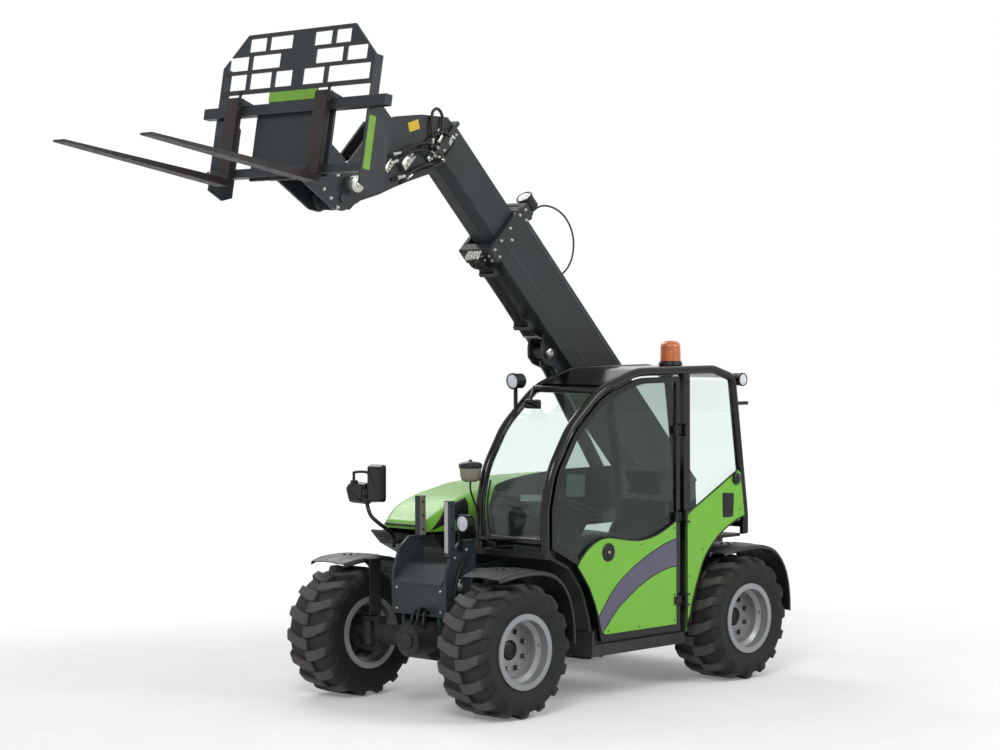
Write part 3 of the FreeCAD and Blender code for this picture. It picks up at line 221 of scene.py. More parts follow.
def moulded(name, colour, rough=0.5, grain=420, bump=0.25, spread=0.15, dust=0.0):
    """Moulded plastic or rubber with a fine leathery grain."""
    t = Tree(bpy.data.materials.new(name))
    cells = t.add("TexVoronoi", Vector=t.place, Scale=grain).outputs["Distance"]
    cloud = t.noise(7, 6)
    tone = t.cloudy(cloud, colour, spread)
    if dust:
        up = t.add("SeparateXYZ", Vector=t.add("NewGeometry").outputs["Normal"]).outputs["Z"]
        settled = t.math("MULTIPLY", t.range(up, 0.2, 1, 0, dust), t.range(cloud, 0.3, 0.6, 0.3, 1))
        tone = t.mix(settled, tone, PALE_DUST)
    return t.principled({"Specular IOR Level": 0.3}, Base_Color=tone,
                        Roughness=t.patchy(30, rough * 0.85, rough * 1.2),
                        Normal=t.bump(cells, bump, 0.0006, t.soft(0.002)))


def steel(name, colour, rough, along=(1, 1, 30), scratch=0.25, spread=0.2):
    """Bare or plated metal with drawn scratches along one direction."""
    t = Tree(bpy.data.materials.new(name))
    lines = t.noise(60, 6, 0.7, along)
    return t.principled({}, Metallic=0.9, Base_Color=t.cloudy(lines, colour, spread),
                        Roughness=t.range(lines, 0.25, 0.75, rough * 0.7, min(1, rough * 1.4)),
                        Normal=t.bump(lines, scratch, 0.0006, t.soft(0.003)))


def woven(name, colour, pitch=1500):
    """Seat cloth: two crossed threads, a slightly mottled tone and a soft sheen."""
    t = Tree(bpy.data.materials.new(name))
    waves = []
    for turn in ((0, 0, 0), (0, 0, math.pi / 2)):
        vector = t.add("Mapping", Vector=t.place, Rotation=turn).outputs[0]
        waves.append(t.add("TexWave", Vector=vector, Scale=pitch / 6, Distortion=0.6).outputs["Fac"])
    cloth = t.math("MULTIPLY", *waves)
    tone = t.mix(t.math("MULTIPLY", cloth, 0.5), t.cloudy(t.noise(9, 5), colour, 0.15), shade(colour, 1.3))
    extra = {"Roughness": 0.9, "Sheen Weight": 0.25, "Sheen Roughness": 0.5}
    return t.principled(extra, Base_Color=tone, Normal=t.bump(cloth, 0.3, 0.0005))


def pane(name, tint):
    """Glazing: tinted clear glass, brighter towards a grazing view, with faint dust."""
    t = Tree(bpy.data.materials.new(name))
    clear = t.add("BsdfTransparent", Color=tint + (1,))
    gloss = t.add("BsdfGlossy", Color=(0.95, 0.97, 0.96, 1), Roughness=0.02)
    film = t.add("BsdfDiffuse", Color=(0.35, 0.38, 0.37, 1))
    share = t.range(t.noise(3, 7, 0.6), 0.35, 0.8, 0.002, 0.022)
    dusty = t.add("MixShader", Fac=share, i1=clear.outputs[0], i2=film.outputs[0])
    edge = t.add("LayerWeight", Blend=0.5).outputs["Facing"]
    sheen = t.math("MULTIPLY_ADD", t.math("POWER", edge, 4.0), 0.32, 0.02)
    glazed = t.add("MixShader", Fac=sheen, i1=dusty.outputs[0], i2=gloss.outputs[0])
    return t.finish(glazed.outputs[0])


def rubber_tread(name):
    """Tyre rubber: black walls, and scuffed brown-grey tread by distance from the wheel's axle."""
    t = Tree(bpy.data.materials.new(name))
    parts = t.add("SeparateXYZ", Vector=t.place)
    flat = t.add("CombineXYZ", Y=parts.outputs["Y"], Z=parts.outputs["Z"]).outputs[0]
    radius = t.add("VectorMath", {"operation": "LENGTH"}, i0=flat).outputs["Value"]
    cloud, fine = t.noise(10, 7, 0.6), t.noise(90, 5, 0.7)
    wall = t.mix(t.range(cloud, 0.3, 0.7, 0, 1), (0.006, 0.006, 0.0065, 1), (0.012, 0.0115, 0.0115, 1))
    valley = t.mix(t.range(cloud, 0.35, 0.65, 0, 1), (0.012, 0.011, 0.0105, 1), (0.028, 0.025, 0.022, 1))
    top = t.mix(t.range(fine, 0.3, 0.7, 0, 1), (0.05, 0.0465, 0.043, 1), (0.095, 0.09, 0.083, 1))
    tone = t.mix(t.range(radius, 0.34, 0.366, 0, 1), wall, valley)
    tone = t.mix(t.range(radius, 0.378, 0.391, 0, 1), tone, top)
    rings = t.add("TexWave", {"wave_type": "RINGS", "rings_direction": "X"}, Vector=t.place, Scale=46)
    relief = t.math("MULTIPLY", rings.outputs[1], t.range(radius, 0.33, 0.325, 0, 1))
    normal = t.bump(fine, 0.35, 0.0015, t.bump(relief, 0.12, 0.001))
    return t.principled({"Specular IOR Level": 0.3}, Base_Color=tone, Normal=normal,
                        Roughness=t.range(cloud, 0.3, 0.7, 0.55, 0.8))


def lens(name, colour, rough=0.06, ribs=60, clear=0.0):
    """Moulded lamp lens with pressed ribs."""
    t = Tree(bpy.data.materials.new(name))
    ribbed = t.add("TexWave", Vector=t.place, Scale=ribs).outputs["Fac"]
    tone = t.mix(t.range(t.noise(18, 3), 0.3, 0.7, 0, 1), shade(colour, 0.82), shade(colour, 1.15))
    extra = {"Roughness": rough, "Coat Weight": 0.6, "Transmission Weight": clear}
    return t.principled(extra, Base_Color=tone, Normal=t.bump(ribbed, 0.4, 0.002))


BOOM = paint("boom_grey", (0.021, 0.025, 0.027), 0.42, edge_wear_and_highlight=0.3)
# painted highlight: a lighter grey for the strips laid along the boom's bends, where light catches them
BOOM_BEND_HIGHLIGHT = paint("boom_bend_highlight", (0.045, 0.05, 0.053), 0.45, edge_wear_and_highlight=0.5)
CHASSIS = paint("chassis_grey", (0.026, 0.036, 0.042), 0.42, dust=0.15, edge_wear_and_highlight=0.3)
BLACK = paint("cab_black", (0.003, 0.003, 0.0035), 0.16, edge_wear_and_highlight=0.04, bump=0.04, spread=0.2, shine=0.32)
TUB = paint("tub_black", (0.005, 0.005, 0.006), 0.38, dust=0.18, edge_wear_and_highlight=0.1)
GREEN = paint("machine_green", (0.165, 0.44, 0.038), 0.32, spread=0.04, coat=0.1, edge_wear_and_highlight=0.1, bump=0.04,
              worn=(0.35, 0.55, 0.18))
VIOLET = paint("stripe_violet", (0.085, 0.078, 0.125), 0.4, spread=0.06, edge=0, coat=0.3, bump=0.05)
CARRIAGE = paint("carriage_grey", (0.02, 0.025, 0.029), 0.42, edge_wear_and_highlight=0.4)
STRIP = paint("bare_strip", (0.16, 0.33, 0.04), 0.45, edge=0, spread=0.1)
FORK = paint("fork_steel", (0.022, 0.018, 0.016), 0.5, spread=0.35, edge_wear_and_highlight=0.6, grain=90, bump=0.3,
             worn=(0.12, 0.1, 0.09))
RIM = paint("rim_silver", (0.27, 0.28, 0.29), 0.34, metal=0.35, spread=0.06, edge_wear_and_highlight=0.2, dust=0.15, coat=0.2,
            worn=(0.7, 0.7, 0.7))
TYRE = rubber_tread("tyre_rubber")
FENDER = moulded("fender_plastic", (0.014, 0.014, 0.015), 0.42, 300, dust=0.12)
BAY = moulded("bay_plastic", (0.007, 0.008, 0.009), 0.45, 300, dust=0.06)
GLASS = pane("cab_glazing", (0.955, 0.98, 0.97))
DOOR_GLASS = pane("door_glazing", (0.66, 0.72, 0.70))
SEAT = woven("seat_fabric", (0.028, 0.032, 0.034))
VINYL = moulded("seat_vinyl", (0.025, 0.027, 0.028), 0.45, 500)
TRIM = moulded("cab_trim", (0.05, 0.057, 0.056), 0.6, 380)
# painted shade: a darker copy of the cab trim for the panel that hides the hood seen through the right glass
HOOD_SHADE_PANEL = moulded("painted_shade_lining", (0.010, 0.013, 0.013), 0.5, 380)
PAPER = moulded("plain_card", (0.30, 0.33, 0.31), 0.6, 380)
BARREL = paint("cylinder_black", (0.009, 0.009, 0.011), 0.35, edge_wear_and_highlight=0.3)
CHROME = steel("chromed_rod", (0.62, 0.62, 0.64), 0.12, (1, 1, 40), 0.08, 0.05)
CAST = paint("cast_axle", (0.009, 0.009, 0.011), 0.5, grain=220, bump=0.35, dust=0.22, edge_wear_and_highlight=0.2)
PIPE = steel("pipe_steel", (0.24, 0.25, 0.26), 0.35, (30, 1, 1), 0.15)
ZINC = steel("zinc_plate", (0.42, 0.41, 0.38), 0.3, (1, 1, 6), 0.15, 0.15)
HOSE = moulded("hose_rubber", (0.007, 0.007, 0.008), 0.45, 300, 0.3)
LAMP = moulded("lamp_plastic", (0.006, 0.006, 0.007), 0.32, 300, 0.1)
AMBER = lens("beacon_amber", (0.62, 0.13, 0.004), 0.14, 55, clear=0.1)
CLEAR = lens("lamp_lens", (0.62, 0.65, 0.68), 0.08, 90)
RED = lens("red_lens", (0.45, 0.02, 0.015), 0.12, 90)
TANK = moulded("reservoir_plastic", (0.22, 0.205, 0.15), 0.4, 200, 0.1)
WEIGHT = paint("weight_grey", (0.03, 0.034, 0.037), 0.55, grain=180, bump=0.5, edge_wear_and_highlight=0.3, dust=0.2)
ENGINE = paint("engine_metal", (0.03, 0.032, 0.034), 0.55, metal=0.3, grain=200, bump=0.4)
LOUVRE = moulded("louvre_black", (0.005, 0.005, 0.006), 0.4, 300)
MIRROR = steel("mirror_silver", (0.85, 0.87, 0.88), 0.03, (1, 1, 1), 0.0, 0.02)
YELLOW = paint("bare_yellow", (0.62, 0.4, 0.03), 0.4, spread=0.1, edge=0)
BEIGE = paint("post_beige", (0.21, 0.195, 0.15), 0.5, spread=0.12, edge_wear_and_highlight=0.5)
LIGHT_POST = paint("post_light", (0.42, 0.42, 0.41), 0.45, spread=0.08)

# what each CAD node is made of
LOOKS = {
    "chassis_frame": CHASSIS, "front_cover": CHASSIS, "counterweight": WEIGHT, "front_axle": CAST,
    "rear_axle": CAST, "cab_frame": BLACK, "cab_tub": TUB, "cab_glass": GLASS, "cab_roof": BLACK,
    "quarter_panel": GREEN, "seat_base": TRIM, "seat_cushions": SEAT, "steering_column": VINYL,
    "beacon": AMBER, "lamps": LAMP, "mirror": LAMP, "reservoir": TANK, "engine_bay": BAY,
    "engine_block": ENGINE, "boom_outer": BOOM, "boom_lines": PIPE, "boom_lamp": LAMP, "lamp_hose": HOSE,
    "boom_inner": BOOM, "boom_head": BOOM, "hitch_frame": CARRIAGE, "fork_carriage": CARRIAGE,
    "fork_backrest": CARRIAGE, "fork_left": FORK, "fork_right": FORK, "lift_barrel": BARREL,
    "lift_rod": CHROME, "tilt_barrel": BARREL, "tilt_rod": CHROME, "door_frame": BLACK,
    "door_panel": GREEN, "door_glass": DOOR_GLASS, "engine_hood": GREEN,
}
for node, item in NODES.items():
    look = LOOKS.get(node)
    if look is None:
        look = {"knuc": CAST, "fend": FENDER, "tyre": TYRE, "rim_": RIM}[node[:4]]
    item.data.materials.clear()
    item.data.materials.append(look)


# ---------------------------------------------------------------- mesh helpers
def mend(mesh, weld=False):
    """Turn all faces outwards; weld first joins the points that lie in one place."""
    bm = bmesh.new()
    bm.from_mesh(mesh)
    if weld:
        bmesh.ops.remove_doubles(bm, verts=bm.verts, dist=1e-6)
    bmesh.ops.recalc_face_normals(bm, faces=bm.faces)
    bm.to_mesh(mesh)
    bm.free()


def piece(name, verts, faces, look, body, smooth=False, origin=None, slot=None):
    """A mesh in the shared frame that rides on a CAD body; origin is where its own coordinates start."""
    origin = origin or Vector((0, 0, 0))
    mesh = bpy.data.meshes.new(name)
    mesh.from_pydata([tuple(Vector(v) - origin) for v in verts], [], faces)
    mend(mesh)
    mesh.materials.append(look)
    made = placed(name, mesh)
    made.location = origin
    if smooth:
        mesh.polygons.foreach_set("use_smooth", [True] * len(mesh.polygons))
        mesh.set_sharp_from_angle(angle=math.radians(40))
    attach(made, body)
    return made


def join(shapes):
    """Several (verts, faces) as one."""
    verts, faces = [], []
    for more_verts, more_faces in shapes:
        start = len(verts)
        verts += list(more_verts)
        faces += [[i + start for i in f] for f in more_faces]
    return verts, faces


def loft(rings, closed=True, caps=True):
    """Faces between equal rings of points, with the ends closed."""
    count = len(rings[0])
    verts = [p for ring in rings for p in ring]
    faces = []
    for r in range(len(rings) - 1):
        for i in range(count if closed else count - 1):
            j = (i + 1) % count
            faces.append([r * count + i, r * count + j, (r + 1) * count + j, (r + 1) * count + i])
    if caps:
        faces.append(list(range(count))[::-1])
        faces.append([(len(rings) - 1) * count + i for i in range(count)])
    return verts, faces


def basis(axis):
    """An axis made one long, and the two directions square to it."""
    axis = Vector(axis).normalized()
    side = axis.cross(Vector((0, 0, 1)))
    if side.length < 0.1:
        side = axis.cross(Vector((0, 1, 0)))
    side.normalize()
    return axis, side, axis.cross(side)


def turns(count, start=0.0):
    """Equal angles round a circle."""
    return [2 * math.pi * (i + start) / count for i in range(count)]


def turned(profile, centre, axis, count=32):
    """A turned shape: profile is (distance along the axis, radius), both in metres."""
    axis, side, other = basis(axis)
    rings = []
    for along, radius in profile:
        rings.append([centre + axis * along + (side * math.cos(a) + other * math.sin(a)) * radius
                      for a in turns(count)])
    return loft(rings)


def bolt(centre, axis, size=0.016, head=0.010):
    """A hexagon head with a chamfered top on its washer."""
    washer = turned([(0, size * 0.95), (0.002, size * 0.95), (0.0026, size * 0.9)], centre, axis, 20)
    hexagon = turned([(0.002, size * 0.75), (head * 0.85, size * 0.75), (head, size * 0.62)], centre, axis, 6)
    return join([washer, hexagon])


def screw(centre, radius):
    """A small domed screw head that faces the machine's left."""
    return turned([(-0.001, radius), (0.0012, radius), (0.0026, radius - 0.002)], centre, OUT, 12)


def block(low, high, inset=0.004):
    """A box with chamfered edges, from its lowest to its highest corner."""
    low, high = Vector(low), Vector(high)
    centre, half = (low + high) / 2, (high - low) / 2
    inset = min(inset, min(half) * 0.6)
    verts, faces, index = [], [], {}
    for signs in product((-1, 1), repeat=3):
        for axis in range(3):
            reach = [h if i == axis else h - inset for i, h in enumerate(half)]
            index[(*signs, axis)] = len(verts)
            verts.append(centre + Vector([s * r for s, r in zip(signs, reach)]))
    for axis in range(3):
        b, c = [a for a in range(3) if a != axis]

        def vert(s, u, v, which):
            key = [0, 0, 0]
            key[axis], key[b], key[c] = s, u, v
            return index[(*key, which)]

        for s in (-1, 1):
            faces.append([vert(s, u, v, axis) for u, v in ((-1, -1), (1, -1), (1, 1), (-1, 1))])
        for u, v in product((-1, 1), repeat=2):      # the chamfers along this axis
            faces.append([vert(s, u, v, a) for s, a in ((-1, b), (1, b), (1, c), (-1, c))])
    for signs in product((-1, 1), repeat=3):
        faces.append([index[(*signs, a)] for a in range(3)])
    return verts, faces


def pipe(name, points, radius, look, body, poly=False, resolution=3, nurbs=False):
    """A tube along a smooth line through the points, kept as a curve."""
    data = bpy.data.curves.new(name, "CURVE")
    data.dimensions, data.bevel_depth, data.bevel_resolution = "3D", radius, resolution
    data.use_fill_caps = True
    spline = data.splines.new("NURBS" if nurbs else "POLY")
    if not nurbs:
        points = points if poly else smooth_line(points)
    spline.points.add(len(points) - 1)
    for target, point in zip(spline.points, points):
        target.co = (*point, 1)
    if nurbs:
        spline.order_u, spline.use_endpoint_u, spline.resolution_u = 3, True, 16
    spline.use_smooth = True
    data.materials.append(look)
    made = placed(name, data)
    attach(made, body)
    return made


def smooth_line(points, steps=6):
    """A Catmull-Rom line through the points."""
    points = [Vector(p) for p in points]
    if len(points) < 3:
        return points
    ends = [points[0] * 2 - points[1]] + points + [points[-1] * 2 - points[-2]]
    line = []
    for a, b, c, d in zip(ends, ends[1:], ends[2:], ends[3:]):
        for step in range(steps):
            t = step / steps
            line.append(0.5 * ((2 * b) + (c - a) * t + (2 * a - 5 * b + 4 * c - d) * t * t
                               + (3 * b - a - 3 * c + d) * t ** 3))
    return line + [points[-1]]


# ---------------------------------------------------------------- the lamp's hose
HOSE_RUN = [(2155, 297.3), (2155, 390), (2065, 490), (1930, 545), (1790, 520), (1700, 430), (1672, 330),
            (1690, 240), (1700, 173.3)]
run = [on_boom(0, *p) for p in HOSE_RUN]
lamp_hose = pipe("lamp_hose_soft", run, 0.006, HOSE, "boom", nurbs=True, resolution=4)


def spline_length(points, order=3, steps=400):
    """Length of a clamped quadratic B-spline with those control points."""
    count = len(points)
    knots = [0] * order + list(range(1, count - order + 1)) + [count - order + 1] * order

    def base(i, k, u):
        if k == 1:
            return 1.0 if knots[i] <= u < knots[i + 1] else 0.0
        total = 0.0
        if knots[i + k - 1] > knots[i]:
            total += (u - knots[i]) / (knots[i + k - 1] - knots[i]) * base(i, k - 1, u)
        if knots[i + k] > knots[i + 1]:
            total += (knots[i + k] - u) / (knots[i + k] - knots[i + 1]) * base(i + 1, k - 1, u)
        return total

    last = count - order + 1
    line = []
    for step in range(steps):
        u = last * step / steps
        line.append(sum((points[i] * base(i, order, u) for i in range(count)), Vector()))
    line.append(points[-1])
    return sum((b - a).length for a, b in zip(line, line[1:]))


round(spline_length(run), 3)
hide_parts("lamp_hose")


# ---------------------------------------------------------------- floor, light and background
def ray_kinds(t):
    """One for rays that the camera sees straight, in a shine or through glass, else nothing."""
    path = t.add("LightPath").outputs
    seen = t.math("ADD", path["Is Camera Ray"], path["Is Glossy Ray"])
    return t.math("ADD", seen, path["Is Transmission Ray"])


def floor_look():
    """A matt floor that grows whiter away from the machine."""
    t = Tree(bpy.data.materials.new("studio_floor"))
    tone = t.mix(t.range(t.noise(1.5, 4), 0.3, 0.7, 0, 1), (0.78, 0.78, 0.78, 1), (0.82, 0.82, 0.82, 1))
    matt = t.add("BsdfDiffuse", Color=tone)
    reach = t.add("VectorMath", {"operation": "LENGTH"}, i0=t.place).outputs["Value"]
    lift = t.add("Emission", Color=(1, 1, 1, 1),
                 Strength=t.math("MULTIPLY", ray_kinds(t), t.range(reach, 3.2, 11, 0.17, 0.7)))
    return t.finish(t.add("AddShader", i0=matt.outputs[0], i1=lift.outputs[0]).outputs[0])


def make_floor():
    """A round floor that reaches past the picture on every side."""
    mesh = bpy.data.meshes.new("studio_floor")
    rings = [[(r * math.cos(a), r * math.sin(a), 0) for a in turns(48)] for r in (4, 10, 40)]
    verts, faces = loft(rings, caps=False)
    faces.append(list(range(48)))
    mesh.from_pydata(verts, [], faces)
    mesh.materials.append(floor_look())
    made = placed("studio_floor", mesh)


def make_light(name, place, target, size, watts):
    """A round area light that faces its target."""
    data = bpy.data.lights.new(name, "AREA")
    data.shape, data.size, data.energy = "DISK", size, watts
    made = placed(name, data)
    made.location = place
    made.rotation_euler = (Vector(target) - Vector(place)).to_track_quat("-Z", "Y").to_euler()


def make_world():
    """Soft light on the machine, and plain white wherever the camera sees past it."""
    t = Tree(bpy.data.worlds.new("studio"), "OutputWorld")
    soft = t.add("Background", Color=(0.96, 0.98, 1, 1), Strength=0.45)
    plain = t.add("Background", Color=(1, 1, 1, 1), Strength=1)
    mixed = t.add("MixShader", Fac=ray_kinds(t), i1=soft.outputs[0], i2=plain.outputs[0])
    bpy.context.scene.world = t.finish(mixed.outputs[0])


make_floor()
make_world()
make_light("key", (7, -9, 9), (0, 0, 1.2), 5, 800)
make_light("fill", (9, 4, 6), (0, 0, 1.2), 5, 380)
make_light("back", (-7, 3, 7), (0, 0, 1.5), 5, 260)
bpy.context.scene.view_settings.view_transform = "Standard"


# ---------------------------------------------------------------- tyres
# half of the tyre's outer wall, as (across, radius) in metres
CARCASS = [(-0.168, 0.199), (-0.171, 0.2275), (-0.176, 0.247), (-0.183, 0.275), (-0.1885, 0.3),
           (-0.187, 0.318), (-0.1825, 0.322), (-0.181, 0.334), (-0.176, 0.346), (-0.166, 0.358),
           (-0.15, 0.366), (-0.11, 0.3705), (-0.05, 0.373)]
# a bar of the tread in steps: its foot and its top, as (across, radius), and its lead in mm
LUG = [((0.184, 0.310), (0.1885, 0.314), -10), ((0.181, 0.332), (0.1885, 0.330), -8),
       ((0.176, 0.346), (0.1865, 0.346), -5), ((0.166, 0.356), (0.1800, 0.366), -1),
       ((0.154, 0.362), (0.1690, 0.382), 4), ((0.135, 0.366), (0.1520, 0.3925), 12),
       ((0.105, 0.369), (0.1150, 0.3945), 27), ((0.070, 0.371), (0.0740, 0.395), 43),
       ((0.030, 0.371), (0.0300, 0.395), 52), ((-0.016, 0.371), (-0.0120, 0.395), 55)]
LUGS, LUG_RADIUS = 16, 0.395                      # bars in a row, and the tread's outer radius


def lug_shape(side, start):
    """One bar of the tread: from the wall over the shoulder to a blunt head past the middle."""
    rings = []
    for step, (foot, top, lead) in enumerate(LUG):
        half = 0.031 + 0.004 * min(1, max(0, (step - 6) / 2))
        rise = Vector(top) - Vector(foot)
        ring = []
        for width, share in ((-half - 0.006, -0.15), (-half + 0.001, 0.84), (-half + 0.006, 1.0),
                             (half - 0.006, 1.0), (half - 0.001, 0.84), (half + 0.006, -0.15)):
            spot = Vector(foot) + rise * share
            angle = start + (lead / 1000 + width) / LUG_RADIUS
            ring.append(Vector((side * spot.x, -spot.y * math.sin(angle), spot.y * math.cos(angle))))
        rings.append(ring)
    return loft(rings)


def make_tyre(corner):
    """A tyre in one piece: the carcass and two rows of bars on it."""
    node = "tyre_" + corner
    low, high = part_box(node)
    centre = (low + high) / 2
    outward = 1 if centre.x > 0 else -1
    outer = CARCASS + [(-x, r) for x, r in CARCASS[::-1]]
    inner = [(0.150, 0.203), (0.155, 0.245), (0.166, 0.3), (0.155, 0.33), (0.12, 0.349), (0, 0.353)]
    profile = outer + inner + [(-x, r) for x, r in inner[-2::-1]]
    rings = []
    for a in turns(96):
        rings.append([Vector((x, r * math.sin(a), r * math.cos(a))) for x, r in profile])
    rings.append(rings[0])
    shapes = [loft(rings, caps=False)]
    shapes += [lug_shape(outward, a) for a in turns(LUGS)]
    shapes += [lug_shape(-outward, a) for a in turns(LUGS, 0.5)]
    verts, faces = join(shapes)
    made = piece("tread_" + corner, [centre + v for v in verts], faces, TYRE, "wheel_" + corner,
                 smooth=True, origin=centre, slot="tyre_rubber")
    mend(made.data, weld=True)
    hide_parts(node)


def make_rim_trim(corner):
    """Wheel nuts and studs, hub cap, the ring of weld on the disc and the valve."""
    low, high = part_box("rim_" + corner)
    centre = (low + high) / 2
    out = OUT if centre.x > 0 else -OUT
    face, wheel = centre + out * 0.0501, "wheel_" + corner
    nuts, studs = [], []
    for a in turns(8, 0.5):
        spot = face + Vector((0, math.cos(a), math.sin(a))) * 0.112
        nuts.append(turned([(-0.001, 0.0155), (0.003, 0.0155), (0.004, 0.0135)], spot, out, 16))
        nuts.append(turned([(0.003, 0.0135), (0.017, 0.0135), (0.019, 0.0115)], spot, out, 6))
        studs.append(turned([(0.015, 0.0065), (0.027, 0.0065), (0.0285, 0.005)], spot, out, 12))
    piece("wheel_nuts_" + corner, *join(nuts), CAST, wheel, smooth=True)
    piece("wheel_studs_" + corner, *join(studs), ZINC, wheel, smooth=True)
    cap = turned([(-0.001, 0.0585), (0.012, 0.058), (0.019, 0.052), (0.023, 0.04)],
                 centre + out * 0.032, out, 40)
    piece("hub_cap_" + corner, *cap, LAMP, wheel, smooth=True)
    weld = []
    for i, a in enumerate(turns(72)):
        a += 0.02 * math.sin(i * 7)
        weld.append([centre + out * (0.0515 + u) + Vector((0, math.cos(a), math.sin(a))) * r
                     for u, r in ((0.006 + 0.001 * (i % 2), 0.1605), (0.0035, 0.1585), (-0.003, 0.1565),
                                  (-0.003, 0.1625))])
    weld.append(weld[0])
    piece("rim_weld_" + corner, *loft(weld, caps=False), RIM, wheel, smooth=True)
    stem = centre + out * 0.1105 + Vector((0, 0.172, 0.02))
    valve = join([turned(profile, stem, (out.x, -0.2, 0), 12)
                  for profile in ([(-0.03, 0.005), (0.012, 0.005), (0.013, 0.004)],
                                  [(0.012, 0.0065), (0.024, 0.0065), (0.026, 0.005)])])
    piece("valve_" + corner, *valve, ZINC, wheel, smooth=True)


CORNERS = ("front_left", "front_right", "rear_left", "rear_right")
for corner in CORNERS:
    make_tyre(corner)
    make_rim_trim(corner)


# ---------------------------------------------------------------- outlines
def rounded(points, radii, steps=5):
    """An outline with rounded corners: radii is one radius for them all, or {corner: radius}."""
    made = []
    for i, point in enumerate(points):
        here = Vector(point)
        radius = radii.get(i, 0) if isinstance(radii, dict) else radii
        if not radius:
            made.append(tuple(here))
            continue
        before, after = Vector(points[i - 1]), Vector(points[(i + 1) % len(points)])
        start = here + (before - here).normalized() * radius
        end = here + (after - here).normalized() * radius
        for step in range(steps + 1):
            t = step / steps
            made.append(tuple(start * (1 - t) ** 2 + here * 2 * t * (1 - t) + end * t * t))
    return made


def offset(points, distance):
    """The outline moved inwards by distance; the points go round either way."""
    area = sum(a[0] * b[1] - b[0] * a[1] for a, b in zip(points, points[1:] + points[:1]))
    sign, made = (1 if area > 0 else -1), []
    for i, point in enumerate(points):
        here = Vector(point)
        before, after = Vector(points[i - 1]), Vector(points[(i + 1) % len(points)])
        first, second = (here - before).normalized(), (after - here).normalized()
        normal = Vector((-first.y - second.y, first.x + second.x)) * sign
        lean = max(0.35, normal.length / 2)
        made.append(tuple(here + normal.normalized() * distance / lean))
    return made


def plate(points, place, low, high, inset=1.5):
    """A flat plate from an outline: place(u, v, depth) sets it in space, and its outer edge is chamfered."""
    lift = high - math.copysign(inset * 0.7, high - low)
    rings = [[place(*p, low) for p in points], [place(*p, lift) for p in points],
             [place(*p, high) for p in offset(points, inset)]]
    return loft(rings)


def ribbon(line, width, place, low, high):
    """A flat band of one width along an open line."""
    sides = ([], [])
    for i, point in enumerate(line):
        here = Vector(point)
        ahead = (Vector(line[min(i + 1, len(line) - 1)]) - Vector(line[max(i - 1, 0)])).normalized()
        across = Vector((-ahead.y, ahead.x)) * width / 2
        sides[0].append(here + across)
        sides[1].append(here - across)
    rings = []
    for a, b in zip(*sides):
        rings.append([place(*a, low), place(*a, high), place(*b, high), place(*b, low)])
    return loft(rings)


def curve_2d(points, steps=6):
    """A smooth line through flat points."""
    return [tuple(p)[:2] for p in smooth_line([(*p, 0) for p in points], steps)]


def outer_side(y, z, x):
    """A place for an outline drawn in a side view, at a depth across the machine."""
    return at(x, y, z)


def facing(x, z, y):
    """A place for an outline drawn in a front view."""
    return at(x, y, z)


# ---------------------------------------------------------------- door
DOOR_FACE = 751.5                                 # how far out the green door panel lies
DOOR_TOP = [(533, 843), (578, 897), (650, 952), (735, 988), (813, 996), (905, 984), (1016, 967),
            (1109, 960), (1203, 968), (1298, 992), (1395, 1030), (1452, 1058)]
DOOR_FOOT = [(1452, 408), (786, 408), (747, 430), (728, 505), (690, 604), (640, 706), (585, 780)]
STRIPE_HIGH = [(719, 520), (775, 586), (848, 668), (931, 733), (1015, 784), (1108, 832), (1212, 876),
               (1346, 922), (1452, 946)]
STRIPE_LOW = [(758, 424), (811, 478), (903, 562), (1014, 632), (1108, 682), (1202, 722), (1298, 752),
              (1394, 770), (1452, 774)]


def make_door_skin():
    """The green panel with its violet stripe and the black lines along their edges."""
    top, high, low = curve_2d(DOOR_TOP), curve_2d(STRIPE_HIGH), curve_2d(STRIPE_LOW)
    made = piece("door_skin", *plate(top + DOOR_FOOT, outer_side, DOOR_FACE - 12.5, DOOR_FACE, 2), GREEN,
                 "door", slot="machine_green")
    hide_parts("door_panel")
    piece("door_stripe", *plate(high + low[::-1], outer_side, DOOR_FACE - 1, DOOR_FACE + 0.6, 0.5), VIOLET,
          "door")
    edges = [ribbon(line, 6, outer_side, DOOR_FACE - 1, DOOR_FACE + 1) for line in (high, low)]
    edges += [ribbon(line, 9, outer_side, DOOR_FACE - 10.5, DOOR_FACE + 1.1)
              for line in (top, top[:1] + DOOR_FOOT[::-1])]
    piece("door_edging", *join(edges), LOUVRE, "door")


def make_door_fittings():
    """The handle in its cup, the lock, screws, hinge bolts and the latch inside."""
    spot = at(751, 812, 908)
    cup = turned([(-0.003, 0.056), (0.004, 0.056), (0.007, 0.052), (0.007, 0.045), (0.003, 0.042),
                  (0.0028, 0.001)], spot, OUT, 40)
    grip = block(spot + Vector((-0.003, -0.012, -0.040)), spot + Vector((0.0065, 0.016, 0.040)), 0.005)
    piece("door_handle", *join([cup, grip]), LAMP, "door", smooth=True)
    lock = turned([(0.004, 0.009), (0.0085, 0.009), (0.0095, 0.007)], spot + Vector((0, 0.002, 0)), OUT, 20)
    piece("door_lock", *lock, ZINC, "door", smooth=True)
    heads = [screw(at(DOOR_FACE, y, z), 0.0055)
             for y, z in ((1120, 930), (1432, 600), (1432, 440), (1100, 430), (810, 430), (1432, 1010))]
    heads += [bolt(at(761, y, z), OUT, 0.010, 0.006)
              for hinge in (560, 1080, 1620) for y in (1446, 1478) for z in (hinge - 12, hinge + 12)]
    piece("door_screws", *join(heads), LAMP, "door", smooth=True)
    latch = [block(at(705, 1424, 1010), at(727, 1452, 1180), 0.004),
             block(at(695, 1380, 1060), at(712, 1440, 1084), 0.004)]
    piece("door_latch", *join(latch), LAMP, "door")


# ---------------------------------------------------------------- quarter panel and hood
QUARTER = [(1550, 380), (1560, 420), (1585, 474), (1605, 548), (1654, 669), (1734, 820), (1885, 949),
           (2040, 1020), (2134, 1048), (2094, 1324), (2061, 1342), (1565, 1098), (1550, 1080)]


